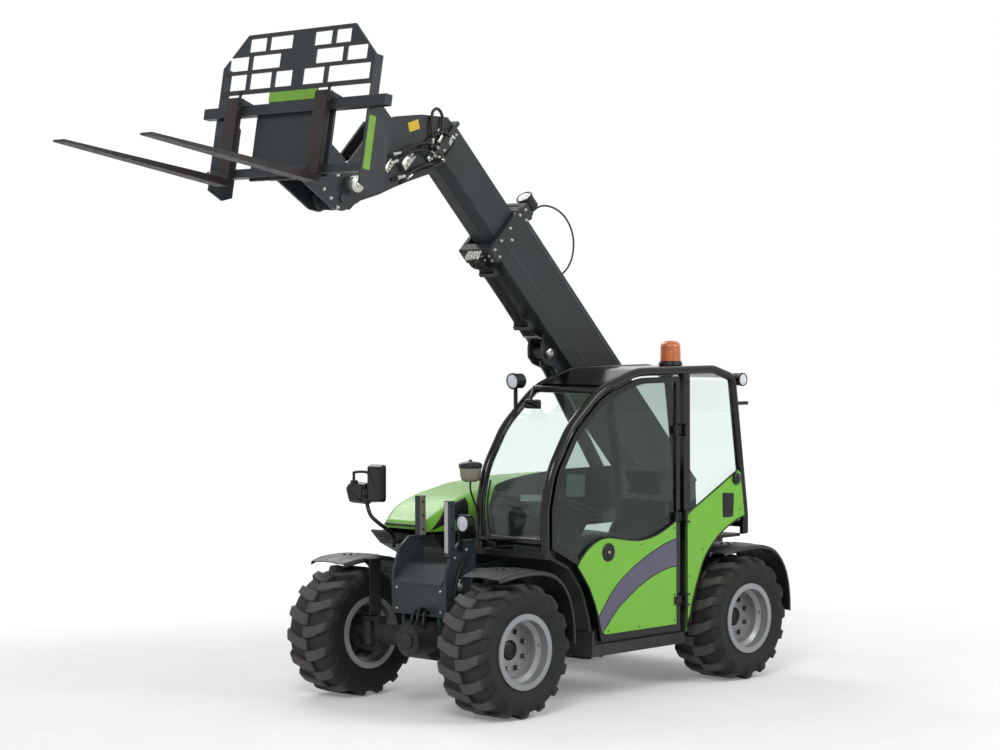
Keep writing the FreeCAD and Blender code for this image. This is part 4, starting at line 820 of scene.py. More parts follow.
def make_quarter_trim():
    """The panel's black edging, its louvred vent, the filler cap and the screws."""
    line = curve_2d(QUARTER[1:9], 4) + QUARTER[9:] + QUARTER[:2]
    piece("quarter_edging", *ribbon(line, 9, outer_side, 753, 757.5), LOUVRE, "chassis")
    vent = [(1908, 1046), (2012, 1046), (2020, 1196), (1902, 1204)]
    shapes = [plate(rounded(vent, 14), outer_side, 752, 758.5, 3)]
    shapes += [block(at(757, 1918, z), at(762, 2004, z + 9), 0.0015) for z in range(1064, 1179, 19)]
    piece("quarter_vent", *join(shapes), LOUVRE, "chassis")
    cap = turned([(-0.004, 0.037), (0.012, 0.037), (0.016, 0.033), (0.018, 0.02)], at(755, 2040, 1287), OUT)
    rib = block(at(768, 2036, 1262), at(777, 2044, 1312), 0.003)
    piece("filler_cap", *join([cap, rib]), LAMP, "chassis", smooth=True)
    screws = [screw(at(755, y, z), 0.006)
              for y, z in ((1575, 1040), (1575, 700), (1700, 860), (2080, 1090), (1860, 1240))]
    piece("quarter_screws", *join(screws), LAMP, "chassis", smooth=True)


HOOD = [(225, 1010), (245, 1065), (420, 1150), (600, 1212), (850, 1262), (1200, 1290), (1690, 1290),
        (1700, 1010)]
HOOD_FOOT, HOOD_LEFT, HOOD_RIGHT = 1009, -190, -752
HOOD_WALL = 0.012                                 # in metres


def hood_height(y):
    """The hood's ridge at y, from its side outline."""
    for (a, b), (c, d) in zip(HOOD, HOOD[1:]):
        if a <= y <= c:
            return b + (d - b) * (y - a) / max(1, c - a)
    return HOOD[-2][1]


def make_hood_trim():
    """The handle across the hood's nose."""
    line = [at(-560, 240, 1040), at(-560, 214, 1046), at(-540, 210, 1047), at(-310, 210, 1047),
            at(-290, 214, 1046), at(-290, 240, 1040)]
    pipe("hood_handle", line, 0.007, LAMP, "hood")


make_door_skin()
make_door_fittings()
make_quarter_trim()
make_hood_trim()


# ---------------------------------------------------------------- hood, engine bay and mirror
def hood_station(y):
    """The hood's section at y: narrower and lower towards the nose."""
    nose = max(0.0, min(1.0, (620 - y) / 395))
    left, right = HOOD_LEFT - 46 * nose ** 2.4, HOOD_RIGHT + 150 * nose ** 2.4
    top = hood_height(y) if y > 245 else 1010 + (y - 225) * 2.4
    radius = min(115, (top - HOOD_FOOT) * 0.93, 60 + 55 * (1 - nose))
    section = [(left, HOOD_FOOT)]
    for step in range(8):
        a = math.pi / 2 * step / 7
        section.append((left - radius * (1 - math.cos(a)), top - radius * (1 - math.sin(a))))
    for step in range(8):
        a = math.pi / 2 * (1 - step / 7)
        section.append((right + radius * (1 - math.cos(a)), top - radius * (1 - math.sin(a))))
    return section + [(right, HOOD_FOOT)]


def make_hood():
    """The hood as a thin shell open below, closed at its nose and its back."""
    rings, middle_x = [], (HOOD_LEFT + HOOD_RIGHT) / 2
    stations = [226, 229, 236, 246, 262, 285, 320, 370, 430, 500, 600, 720, 850, 1000, 1150, 1300, 1450,
                1600, 1670, 1690, 1698]
    for y in stations:
        shrink = {226: 26, 229: 12, 236: 4}.get(y, 0)
        rings.append([at(x + (shrink if x < middle_x else -shrink), y, max(HOOD_FOOT, z - shrink * 0.5))
                      for x, z in hood_station(max(y, 240))])
    inner = []
    for ring in rings:
        middle = sum(ring, Vector()) / len(ring)
        inner.append([p + Vector((HOOD_WALL if p.x < middle.x else -HOOD_WALL, 0,
                                  -HOOD_WALL if p.z > 1.02 else 0)) for p in ring])
    count = len(rings[0])
    verts = [p for ring in rings + inner for p in ring]
    total, faces = len(rings) * count, []
    for r in range(len(rings) - 1):
        for i in range(count - 1):
            a, b = r * count + i, r * count + i + 1
            faces.append([a, b, b + count, a + count])
            faces.append([total + b, total + a, total + a + count, total + b + count])
        for i in (0, count - 1):
            a = r * count + i
            faces.append([a, a + count, total + a + count, total + a])
    for r in (0, len(rings) - 1):
        ring = list(range(r * count, r * count + count))
        faces.append(ring)
        faces.append([total + i for i in ring][::-1])
    made = piece("hood_shell", verts, faces, GREEN, "hood", smooth=True, slot="machine_green")
    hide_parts("engine_hood")


def hood_patch(corners, lift, columns, rows):
    """A quad lying on the hood's left shoulder; corners are (y, share of the section) pairs."""
    verts = []
    for j in range(rows + 1):
        for i in range(columns + 1):
            u, v = i / columns, j / rows
            y, share = [(1 - v) * ((1 - u) * corners[0][k] + u * corners[1][k])
                        + v * ((1 - u) * corners[3][k] + u * corners[2][k]) for k in (0, 1)]
            section = hood_station(y)[:9]
            spot = share * 8
            k = min(int(spot), 7)
            x = section[k][0] + (section[k + 1][0] - section[k][0]) * (spot - k)
            z = section[k][1] + (section[k + 1][1] - section[k][1]) * (spot - k)
            out = OUT if share < 0.12 else Vector((1 - share, 0, share)).normalized()
            verts.append(at(x, y, z) + out * lift / 1000)
    wide = columns + 1
    faces = [[j * wide + i, j * wide + i + 1, (j + 1) * wide + i + 1, (j + 1) * wide + i]
             for j in range(rows) for i in range(columns)]
    return verts, faces


VENT = [(268, 0.16), (560, 0.14), (600, 0.74), (420, 0.78)]
VENT_COLUMNS, VENT_ROWS, VENT_SLATS = 10, 8, 7


def make_hood_vent():
    """Black louvred panel in the hood's left shoulder."""
    top, faces = hood_patch(VENT, 3.0, VENT_COLUMNS, VENT_ROWS)
    bottom, _ = hood_patch(VENT, -3.0, VENT_COLUMNS, VENT_ROWS)
    count, wide = len(top), VENT_COLUMNS + 1
    loop = list(range(wide)) + [(j + 1) * wide - 1 for j in range(1, VENT_ROWS + 1)]
    loop += [VENT_ROWS * wide + i for i in range(VENT_COLUMNS - 1, -1, -1)]
    loop += [j * wide for j in range(VENT_ROWS - 1, 0, -1)]
    rim = [[a, count + a, count + b, b] for a, b in zip(loop, loop[1:] + loop[:1])]
    under = [[count + i for i in f][::-1] for f in faces]
    piece("hood_vent", top + bottom, faces + under + rim, LOUVRE, "hood", smooth=True)
    for n in range(VENT_SLATS):
        v = (n + 1) / (VENT_SLATS + 1)
        y0, s0 = [(1 - v) * VENT[0][k] + v * VENT[3][k] for k in (0, 1)]
        y1, s1 = [(1 - v) * VENT[1][k] + v * VENT[2][k] for k in (0, 1)]
        line, _ = hood_patch([(y0 + 12, s0), (y1 - 12, s1), (y1 - 12, s1), (y0 + 12, s0)], 4.0, 12, 1)
        pipe(f"hood_slat_{n}", line[:13], 0.0035, BAY, "hood", poly=True)


def make_bay_trim():
    """The louvred outer side of the engine bay and the hood's catches."""
    bars = [block(at(-757, y, 600), at(-750, y + 34, 900), 0.003) for y in range(560, 1181, 62)]
    bars += [block(at(-757, 470, z), at(-751, 1330, z + 20), 0.003) for z in (570, 910)]
    piece("bay_grille", *join(bars), LOUVRE, "chassis")
    catches = [block(at(-760, y, 960), at(-750, y + 60, 1000), 0.004) for y in (420, 1400)]
    piece("bay_catches", *join(catches), LAMP, "chassis")


def head_shape(outline, front, back, place, steps=7):
    """A cushion-like housing: the outline swells from a flat face to a domed back."""
    rings = []
    for step in range(steps + 1):
        a = math.pi / 2 * step / steps
        shrink = (1 - math.cos(a)) * 22
        depth = front + (back - front) * math.sin(a)
        rings.append([place(*p, depth) for p in offset(outline, shrink)])
    return loft(rings)


def make_mirror():
    """Two mirror heads on a bent tube, with their glass, loop and clamps."""
    arm = [at(-470, 190, 905), at(-470, 184, 975), at(-470, 130, 1022), at(-482, 75, 1062),
           at(-520, 44, 1110), at(-548, 40, 1180), at(-552, 40, 1240)]
    pipe("mirror_arm", arm, 0.0125, LAMP, "chassis", resolution=4)
    big = rounded([(-540, 1188), (-398, 1198), (-396, 1424), (-536, 1422)], {0: 22, 1: 22, 2: 18, 3: 18})
    small = rounded([(-704, 1178), (-560, 1176), (-552, 1306), (-700, 1310), (-736, 1270)],
                    {0: 16, 1: 16, 2: 12, 3: 18, 4: 14})
    heads = [head_shape(big, 56, 18, facing), head_shape(small, 58, 20, facing)]
    heads.append(plate(offset(big, -1), facing, 52, 60, 2))
    heads.append(plate(offset(small, -1), facing, 54, 62, 2))
    made = piece("mirror_heads", *join(heads), LAMP, "chassis")
    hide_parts("mirror")
    glass = [plate(offset(big, 9), facing, 58, 62, 1), plate(offset(small, 8), facing, 60, 64, 1)]
    piece("mirror_glass", *join(glass), MIRROR, "chassis")
    loop = [at(-664, 38, 1296), at(-664, 38, 1352), at(-656, 38, 1370), at(-560, 38, 1376),
            at(-530, 38, 1362), at(-520, 36, 1330)]
    pipe("mirror_loop", loop, 0.009, LAMP, "chassis", resolution=4)
    clamps = [turned([(-0.02, 0.021), (-0.017, 0.024), (0.017, 0.024), (0.02, 0.021)], at(x, 40, z), UP, 20)
              for x, z in ((-549, 1200), (-664, 1300), (-551, 1250))]
    clamps.append(block(at(-492, 176, 930), at(-448, 293, 944), 0.003))
    clamps += [bolt(at(-470, y, 944), UP, 0.011, 0.008) for y in (230, 270)]
    piece("mirror_clamps", *join(clamps), LAMP, "chassis", smooth=True)


# ---------------------------------------------------------------- fenders
# the mudguards' run round the wheel, as (behind the axle, above it), and their section across it
FENDER_REST = [(0, 466), (90, 466), (180, 456), (262, 430), (330, 380), (384, 309), (418, 225),
               (436, 137), (441, 60), (442, 10)]
FENDER_RUN = {"front": [(-198, 437), (-150, 449), (-90, 460)] + FENDER_REST,
              "rear": [(-233, 437), (-170, 452), (-90, 462)] + FENDER_REST}
FENDER_CROSS = [(0, -26), (0.008, -14), (0.03, -6), (0.08, -3), (0.30, -2), (0.33, 1), (0.35, 2), (0.65, 2),
                (0.67, 1), (0.70, -2), (0.92, -3), (0.97, -6), (0.992, -14), (1, -26)]


def make_fender(corner):
    """A mudguard that narrows towards its front end, and its four bolts."""
    node = "fender_" + corner
    low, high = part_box(node)
    axle_low, axle_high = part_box("tyre_" + corner)
    axle = (axle_low + axle_high) / 2
    run = [Vector(p) for p in curve_2d(FENDER_RUN[corner.split("_")[0]], 3)]
    rings = []
    for i, here in enumerate(run):
        ahead = (run[min(i + 1, len(run) - 1)] - run[max(i - 1, 0)]).normalized()
        normal = Vector((-ahead.y, ahead.x))
        if normal.dot(here) < 0:
            normal = -normal
        taper = 0.07 * max(0, 1 - i / 7) ** 1.5
        ring = []
        for thickness, cross in ((0, FENDER_CROSS), (-6, FENDER_CROSS[::-1])):
            for share, lift in cross:
                share = taper + share * (1 - 2 * taper)
                if thickness:
                    share = min(max(share, taper + 0.014), 1 - taper - 0.014)
                    lift = max(lift, -25)
                spot = here + normal * (lift + thickness)
                ring.append(Vector((low.x + (high.x - low.x) * share, axle.y + spot.x / 1000,
                                    axle.z + spot.y / 1000)))
        rings.append(ring)
    made = piece("mudguard_" + corner, *loft(rings), FENDER, "steer_" + corner, smooth=True,
                 slot="fender_plastic")
    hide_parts(node)
    heads = [bolt(Vector((low.x + (high.x - low.x) * share, axle.y + y, axle.z + 0.468)), UP, 0.010, 0.006)
             for y in (-0.03, 0.03) for share in (0.42, 0.58)]
    piece("mudguard_bolts_" + corner, *join(heads), LAMP, "steer_" + corner, smooth=True)


# ---------------------------------------------------------------- lamps, beacon, reservoir
def make_lamp(name, centre, direction, radius, body, depth=0.058):
    """A round work lamp: ribbed housing, bezel and clear lens."""
    r = radius
    axis = Vector(direction).normalized()
    housing = [(-depth, r * 0.45), (-depth * 0.9, r * 0.62)]
    for i in range(4):
        a = -depth * (0.82 - 0.15 * i)
        housing += [(a, r * (0.80 + 0.04 * i)), (a + depth * 0.07, r * (0.80 + 0.04 * i)),
                    (a + depth * 0.08, r * (0.72 + 0.05 * i)), (a + depth * 0.13, r * (0.72 + 0.05 * i))]
    housing += [(-0.010, r * 0.97), (-0.006, r * 1.05), (0.006, r * 1.05), (0.009, r * 1.0), (0.009, r * 0.9),
                (0.003, r * 0.88), (0.002, r * 0.87)]
    piece(name + "_housing", *turned(housing, centre, axis, 36), LAMP, body, smooth=True)
    face = [(0.0025, r * 0.88), (0.006, r * 0.86), (0.0105, r * 0.6), (0.012, r * 0.3), (0.0122, r * 0.02)]
    piece(name + "_lens", *turned(face, centre, axis, 36), CLEAR, body, smooth=True)


def standing(low, high):
    """The foot, the height and the radius of a round upright piece, from its box."""
    middle = (low + high) / 2
    return Vector((middle.x, middle.y, low.z)), high.z - low.z, (high.x - low.x) / 2


def make_beacon():
    """The ribbed amber dome on its base."""
    foot, height, r = standing(*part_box("beacon"))
    dome = [(height * 0.18, r * 0.86), (height * 0.2, r * 0.88)]
    for i in range(9):
        z = height * (0.24 + 0.055 * i)
        dome += [(z, r * (0.875 - 0.003 * i)), (z + height * 0.02, r * (0.86 - 0.003 * i)),
                 (z + height * 0.04, r * (0.875 - 0.003 * i))]
    dome += [(height * 0.80, r * 0.84), (height * 0.9, r * 0.76), (height * 0.97, r * 0.55),
             (height, r * 0.22), (height, 0.001)]
    made = piece("beacon_dome", *turned(dome, foot, UP, 48), AMBER, "chassis", smooth=True,
                 slot="beacon_amber")
    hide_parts("beacon")
    base = [(0, r * 0.94), (0.004, r), (height * 0.12, r), (height * 0.15, r * 0.97),
            (height * 0.16, r * 0.9), (height * 0.2, r * 0.89), (height * 0.2, r * 0.6)]
    piece("beacon_base", *turned(base, foot, UP, 48), LAMP, "chassis", smooth=True)


def make_reservoir():
    """The milky bowl, its gripped lid and the hose below it."""
    foot, height, r = standing(*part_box("reservoir"))
    bowl = [(0, r * 0.45), (0.004, r * 0.62), (height * 0.1, r * 0.76), (height * 0.25, r * 0.86),
            (height * 0.6, r * 0.93), (height * 0.64, r * 0.95), (height * 0.64, r * 0.5)]
    made = piece("washer_bowl", *turned(bowl, foot, UP, 40), TANK, "chassis", smooth=True,
                 slot="reservoir_plastic")
    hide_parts("reservoir")
    lid = [(height * 0.63, r * 0.93), (height * 0.66, r), (height * 0.8, r), (height * 0.84, r * 0.97),
           (height * 0.9, r * 0.8), (height * 0.94, r * 0.35), (height * 0.94, 0.001)]
    shapes = [turned(lid, foot, UP, 40)]
    for a in turns(20):
        spot = foot + Vector((math.cos(a) * r * 0.985, math.sin(a) * r * 0.985, height * 0.73))
        shapes.append(turned([(-0.009, 0.0022), (0.009, 0.0022)], spot, UP, 6))
    top = foot + Vector((0, 0, height * 0.93))
    shapes.append(turned([(0, 0.006), (0.012, 0.006), (0.014, 0.004)], top, UP, 12))
    shapes.append(block(top + Vector((-0.016, -0.003, 0.004)), top + Vector((0.016, 0.003, 0.011)), 0.002))
    piece("washer_lid", *join(shapes), LAMP, "chassis", smooth=True)
    line = [foot + Vector((0, back, drop)) for back, drop in ((0, 0.01), (0, -0.05), (0.03, -0.12),
                                                              (0.062, -0.2), (0.064, -0.33))]
    pipe("washer_hose", line, 0.006, HOSE, "chassis")


# ---------------------------------------------------------------- nose of the chassis
def make_nose():
    """The nose's folded lid, posts, bolts, lines, socket and drive motor."""
    lid = [(-60, 728), (-60, 742), (38, 841), (150, 841), (150, 836), (40, 836), (-56, 740), (-56, 728)]
    piece("cover_lid", *plate(lid, outer_side, -200, 196, 3), CHASSIS, "chassis")
    heads = [bolt(at(x, -56, z), (0, -1, 0), 0.009, 0.006) for x in (-186, 186) for z in (575, 700)]
    heads += [bolt(at(s * 233, y, z), (s, 0, 0), 0.011, 0.008) for s in SIDES
              for y, z in ((20, 600), (20, 900), (120, 940), (150, 620), (60, 760))]
    piece("nose_bolts", *join(heads), ZINC, "chassis", smooth=True)
    post = [(147, 1000), (193, 1000), (193, 1225), (178, 1238), (147, 1238)]
    piece("post_side", *plate(post, outer_side, -191, -186.5, 2), BEIGE, "chassis")
    post = [(204, 930), (232, 930), (232, 1236), (204, 1236)]
    piece("post_front", *plate(post, facing, -34, -38, 2), LIGHT_POST, "chassis")
    heads = [bolt(at(-187, 170, z), OUT, 0.009, 0.005) for z in (1035, 1120, 1205)]
    heads += [bolt(at(242, -10, z), OUT, 0.009, 0.005) for z in (960, 1020, 1080, 1150, 1210)]
    piece("post_bolts", *join(heads), CAST, "chassis", smooth=True)
    make_nose_lines()
    socket = [block(at(233, 30, 700), at(252, 66, 752), 0.003),
              turned([(0, 0.014), (0.012, 0.014), (0.014, 0.011)], at(252, 48, 726), OUT, 20)]
    piece("nose_socket", *join(socket), ZINC, "chassis", smooth=True)
    make_motor()


def make_nose_lines():
    """A hydraulic line down each side of the nose."""
    course = [(0, 130, 905), (6, 70, 860), (8, 20, 760), (8, 10, 640), (6, 60, 545), (4, 120, 520)]
    for side, name in SIDES.items():
        line = [at(side * (240 + out), y, z) for out, y, z in course]
        pipe("nose_line_" + name, line, 0.009, HOSE, "chassis")


def make_motor():
    """The motor's flange bolts in front of the axle, and the hoses up from it."""
    x, y, z, radius = 90, -235, 415, 74
    shapes = [bolt(at(x + radius * math.cos(a), y, z + radius * math.sin(a)), (0, -1, 0), 0.010, 0.007)
              for a in turns(8)]
    shapes.append(turned([(0, 0.045), (0.01, 0.045), (0.014, 0.038), (0.016, 0.02)], at(x, y, z), (0, -1, 0)))
    piece("motor_bolts", *join(shapes), CAST, "chassis", smooth=True)
    for n, (x, z) in enumerate(((40, 478), (90, 492), (140, 478))):
        line = [at(x, -150, z), at(x, -150, z + 60), at(x * 0.8, -110, z + 100), at(x * 0.6, -40, z + 80),
                at(x * 0.5, 40, z + 40)]
        pipe(f"motor_hose_{n}", line, 0.011, HOSE, "chassis")


# ---------------------------------------------------------------- boom
COLLAR_FRONT, COLLAR_HALF = 2340, 136             # its front end along the boom, half its width


def boom_side(forward, rise, x):
    """A place for an outline drawn on the boom's side."""
    return on_boom(x, forward, rise)


def boom_cross(rise, x, forward):
    """A place for an outline drawn across the boom."""
    return on_boom(x, forward, rise)


def boom_under(forward, x, rise):
    """A place for an outline drawn on the boom's underside."""
    return on_boom(x, forward, rise)


def make_boom_trim():
    """Lighter strips along the boom's bends as a painted highlight, the collar's pads, bolts and welds, and
    the lift pin's plates.
    """
    strips = []
    for side in SIDES:
        # the upper and lower strips are a painted highlight along the boom's top edge and its lower bend
        upper = [(640, 140), (2226, 140), (2226, 158), (640, 158)]
        lower = [(1200, -60), (2226, -60), (2226, -68), (1200, -68)]
        strips.append(plate(upper, boom_side, side * 119, side * 122.5, 1.5))
        strips.append(plate(lower, boom_side, side * 119, side * 121.3, 1))
    piece("boom_highlight_strips", *join(strips), BOOM_BEND_HIGHLIGHT, "boom")
    pads = []
    half = COLLAR_HALF
    for x0, x1, low, high in ((-half, half, -208, -150), (-half, half, 134, 180), (101, half, -148, 132),
                              (-half, -101, -148, 132)):
        outline = [(low, x0), (high, x0), (high, x1), (low, x1)]
        pads.append(plate(outline, boom_cross, COLLAR_FRONT - 16, COLLAR_FRONT, 4))
    piece("collar_pads", *join(pads), BOOM, "boom")
    side_bolts = ((2250, -180), (2310, -180), (2250, -30), (2310, 10), (2250, 150), (2300, 190), (2310, 130),
                  (2310, -100))
    heads = [bolt(on_boom(side * half, *spot), OUT * side, 0.011, 0.009)
             for side in SIDES for spot in side_bolts]
    heads += [bolt(on_boom(x, forward, -209.5), way(on_boom, 0, 0, -1), 0.011, 0.009)
              for forward in (2252, 2288) for x in (-96, -32, 32, 96)]
    piece("collar_bolts", *join(heads), ZINC, "boom", smooth=True)
    for n, side in enumerate(SIDES):
        line = [on_boom(side * 121, 2231, rise) for rise in range(-170, 172, 10)]
        pipe(f"collar_weld_{n}", line, 0.004, BOOM, "boom", poly=True)
    for side, name in SIDES.items():
        drop = rounded([(1420, -205), (1450, -262), (1490, -262), (1500, -225), (1440, -150), (1395, -130)],
                       {1: 22, 2: 22, 3: 20, 5: 14})
        cap = [(0, 0.03), (0.008, 0.03), (0.011, 0.026), (0.0115, 0.013), (0.006, 0.011), (0.006, 0.001)]
        shapes = [plate(drop, boom_side, side * 72, side * 76, 2),
                  turned(cap, on_boom(side * 75, *LIFT_PIN), OUT * side, 28),
                  bolt(on_boom(side * 76, 1415, -160), OUT * side, 0.009, 0.007)]
        piece("lug_pin_plate_" + name, *join(shapes), ZINC, "boom", smooth=True)


HOSE_PATH = [(2322, -216), (2318, -244), (2292, -262), (2250, -256), (2190, -226), (2080, -216),
             (1960, -220), (1820, -226), (1690, -228), (1610, -222), (1560, -196), (1540, -172)]
HOSE_SAG = (0, 12, 14, 11, 0)                     # how much lower each hose hangs


def make_boom_hoses():
    """Five hoses in a bundle under the boom, with swaged ends and two clamps."""
    ends, sleeve = [], [(0, 0.011), (0.03, 0.0112), (0.031, 0.0098), (0.05, 0.0096)]
    nut = [(-0.012, 0.0115), (0.002, 0.0115), (0.004, 0.010)]
    for n, sag in enumerate(HOSE_SAG):
        path = []
        for i, (forward, rise) in enumerate(HOSE_PATH):
            x = (23 * n - 46) * (0.85 if 1 < i < 9 else 1)
            drop = sag if 1 < i < 4 else sag * 0.3 if i < 9 else 0
            path.append(on_boom(x, forward, rise - drop))
        pipe(f"boom_hose_{n}", path, 0.0085, HOSE, "boom", resolution=4)
        for index, ahead in ((0, 1), (9, 10)):
            start, axis = path[index], (path[ahead] - path[index]).normalized()
            ends += [turned(sleeve, start, axis, 16), turned(nut, start, axis, 6)]
    piece("boom_hose_ends", *join(ends), ZINC, "boom", smooth=True)
    clamps, margin = [], Vector((0.002, 0.006, 0.006))
    for forward, rise in ((2150, -236), (1700, -246)):
        back, front = forward - 14, forward + 14
        outline = rounded([(back, -66), (front, -66), (front, 66), (back, 66)], 5)
        clamps += [plate(outline, boom_under, top, top - 6, 1) for top in (rise + 4, rise + 36)]
        for x in (-60, 60):
            clamps.append(block(on_boom(x - 3, forward, rise + 2) - margin,
                                on_boom(x + 3, forward, rise + 60) + margin, 0.002))
    made = piece("boom_hose_clamps", *join(clamps), BOOM, "boom")
    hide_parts("boom_lines")


# each hose's x, its radius in metres and its course along and across the boom
HEAD_HOSES = [
    (84, 0.0095, [(3060, -120), (3120, -70), (3180, -20), (3222, 50), (3205, 96), (3150, 84), (3082, 0),
                  (3060, -60)]),
    (92, 0.0105, [(2976, -10), (3030, 36), (3096, 14), (3128, -93), (3142, -217), (3168, -300),
                  (3175, -350)]),
    (104, 0.0105, [(2976, -60), (2976, -110), (2976, -160), (3027, -200), (3084, -295), (3120, -400),
                   (3160, -480)]),
    (96, 0.0095, [(3080, 50), (2996, 64), (2976, 30), (2976, -55), (2976, -134), (3006, -209), (3070, -330),
                  (3100, -440)]),
    (114, 0.009, [(2985, -100), (3060, -150), (3130, -190), (3190, -270), (3225, -380), (3255, -470)]),
    (120, 0.008, [(3010, -60), (3080, -105), (3150, -150), (3205, -230), (3240, -330), (3290, -420)]),
]
HEAD_SIDE = 69                                    # the side of the boom's head


def make_head_hoses():
    """Hoses and their fittings, valve blocks, a bare plate and bolts on the boom's head."""
    fittings = []
    for n, (x, radius, line) in enumerate(HEAD_HOSES):
        path = [on_boom(x + 8 * math.sin(i * 1.3 + n), *spot) for i, spot in enumerate(line)]
        path[0] = on_boom(74, *line[0])
        path[-1] = on_boom(74, *line[-1])
        pipe(f"head_hose_{n}", path, radius, HOSE, "extension", resolution=4)
        smooth = smooth_line(path)
        sleeve = [(-0.024, radius + 0.0015), (0.012, radius + 0.002), (0.014, radius),
                  (0.024, radius + 0.0005)]
        nut = [(0.012, radius + 0.004), (0.024, radius + 0.004), (0.026, radius + 0.002)]
        for index in (4, len(smooth) - 5):
            along = (smooth[index + 1] - smooth[index - 1]).normalized()
            fittings += [turned(sleeve, smooth[index], along, 16), turned(nut, smooth[index], along, 6)]
    for f, r, size in ((3165, -320, 1.0), (3050, -150, 0.6), (3240, -450, 0.7)):
        outline = rounded([(f - 30 * size, r - 62 * size), (f + 30 * size, r - 52 * size),
                           (f + 34 * size, r + 55 * size), (f - 26 * size, r + 60 * size)], 7)
        face = HEAD_SIDE + 38 * size
        fittings.append(plate(outline, boom_side, HEAD_SIDE, face, 3))
        fittings += [bolt(on_boom(face, f + df * size, r + dr * size), OUT, 0.010, 0.012)
                     for df, dr in ((-12, -30), (12, 28), (0, 0))]
    piece("head_fittings", *join(fittings), ZINC, "extension", smooth=True)
    bare = rounded([(3258, -172), (3306, -146), (3266, -66), (3217, -94)], 5)
    piece("bare_plate", *plate(bare, boom_side, HEAD_SIDE, 71.6, 0.6), YELLOW, "extension")
    caps = []
    for side in SIDES:
        for spot, radius in ((TILT_PIN, 0.034), (EYE_PIN, 0.026)):
            profile = [(0, radius), (0.009, radius), (0.012, radius * 0.88), (0.012, radius * 0.3)]
            caps.append(turned(profile, on_boom(side * 70, *spot), OUT * side, 28))
    piece("head_pin_caps", *join(caps), ZINC, "extension", smooth=True)
    heads = [bolt(on_boom(side * 95, 3004, rise), OUT * side, 0.010, 0.008)
             for side in SIDES for rise in (-110, -50, 30, 90)]
    piece("inner_boom_bolts", *join(heads), ZINC, "extension", smooth=True)


# ---------------------------------------------------------------- carriage
def carriage_front(x, z, y):
    """A place for an outline drawn on the carriage's front."""
    return on_carriage(x, y, z)


def carriage_side(y, z, x):
    """A place for an outline drawn on the carriage's side."""
    return on_carriage(x, y, z)


def make_carriage_trim():
    """The bare strips, the lock's drum, the bolts and the forks' locks."""
    strip = rounded([(-204, 488), (204, 488), (204, 546), (-204, 546)], 6)
    piece("rail_strip", *plate(strip, carriage_front, -377, -379.2, 0.5), STRIP, "carriage")
    strip = rounded([(-366, 70), (-316, 70), (-316, 372), (-366, 372)], 5)
    piece("flange_strip", *plate(strip, carriage_side, 649, 651.6, 0.5), STRIP, "carriage")
    y, z, radius = 40, 88, 36
    profile = [(0, 0.03), (0.004, 0.044), (0.012, 0.048), (0.055, 0.048), (0.058, 0.044), (0.06, 0.050),
               (0.072, 0.050), (0.075, 0.046), (0.076, 0.018), (0.082, 0.016), (0.083, 0.001)]
    drum = [turned(profile, on_carriage(106, y, z), OUT, 40)]
    drum += [bolt(on_carriage(181, y + radius * math.cos(a), z + radius * math.sin(a)), OUT, 0.007, 0.005)
             for a in turns(6)]
    piece("lock_drum", *join(drum), ZINC, "carriage", smooth=True)
    heads = [bolt(on_carriage(side * 108, *spot), OUT * side, 0.012, 0.010) for side in SIDES
             for spot in ((-30, -62), (-90, -20), (-150, 20), (-60, 120), (-150, 190))]
    piece("hitch_bolts", *join(heads), ZINC, "carriage", smooth=True)
    nuts = [bolt(on_carriage(x, -427, 80), way(on_carriage, 0, -1, 0), 0.010, 0.008)
            for x in (-600, -240, 0, 240, 600)]
    piece("rail_bolts", *join(nuts), CARRIAGE, "carriage", smooth=True)
    margin = Vector((0.012, 0.010, 0.006))
    for name, x in (("left", 285), ("right", -480)):
        knob = [(0, 0.009), (0.03, 0.009), (0.032, 0.012), (0.046, 0.012), (0.05, 0.008)]
        low, high = on_carriage(x + 38, -408, 490) - margin, on_carriage(x + 62, -400, 512) + margin
        lock = [block(low, high, 0.003),
                turned(knob, on_carriage(x + 50, -404, 512), way(on_carriage, 0, 0, 1), 16)]
        piece("fork_lock_" + name, *join(lock), CAST, name + "_fork", smooth=True)


# ---------------------------------------------------------------- cylinders
def make_cylinder_trim():
    """Glands on both barrels and the line along the lift cylinder."""
    start, end = on_boom(0, *LIFT_PIN), at(0, 1950, 800)
    axis = (end - start).normalized()
    gland = [(-0.02, 0.0445), (-0.017, 0.0465), (0.017, 0.0465), (0.02, 0.0445)]
    shapes = [turned(gland, start + axis * along, axis) for along in (0.09, 1.04)]
    piece("lift_gland", *join(shapes), BARREL, "lift_cylinder", smooth=True)
    side = Vector((0.052, 0, 0))
    line = [start + axis * along + side * out
            for along, out in ((0.12, 0.8), (0.14, 1), (0.5, 1), (0.98, 1), (1.0, 0.8))]
    pipe("lift_line", line, 0.007, PIPE, "lift_cylinder")
    base = on_boom(0, *EYE_PIN)
    axis = (on_carriage(0, -15, 165) - base).normalized()
    gland = [(-0.024, 0.0375), (-0.02, 0.040), (0.0, 0.040), (0.004, 0.0375)]
    piece("tilt_gland", *turned(gland, base + axis * 0.688, axis), BARREL, "tilt_cylinder", smooth=True)


make_hood()
make_hood_vent()
make_bay_trim()
make_mirror()
for corner in CORNERS:
    make_fender(corner)
make_beacon()
make_reservoir()
make_nose()
make_lamp("nose_lamp", at(285, 37, 1106), (0, -1, 0.02), 0.052, "chassis")
make_lamp("brow_lamp", at(194, 569, 1936), (0, -1, -0.08), 0.048, "chassis")
make_lamp("rear_lamp", at(743, 2125, 1917), (1, 0, 0), 0.041, "chassis", 0.04)
make_lamp("boom_work_lamp", on_boom(0, 2266, 345), way(on_boom, 0, 1, 0.1), 0.052, "boom")
make_boom_trim()
make_boom_hoses()
make_head_hoses()
make_carriage_trim()
make_cylinder_trim()


# ---------------------------------------------------------------- seat and cab interior
SEAT_X, VOXEL, FRAMES = 470, 0.008, 20


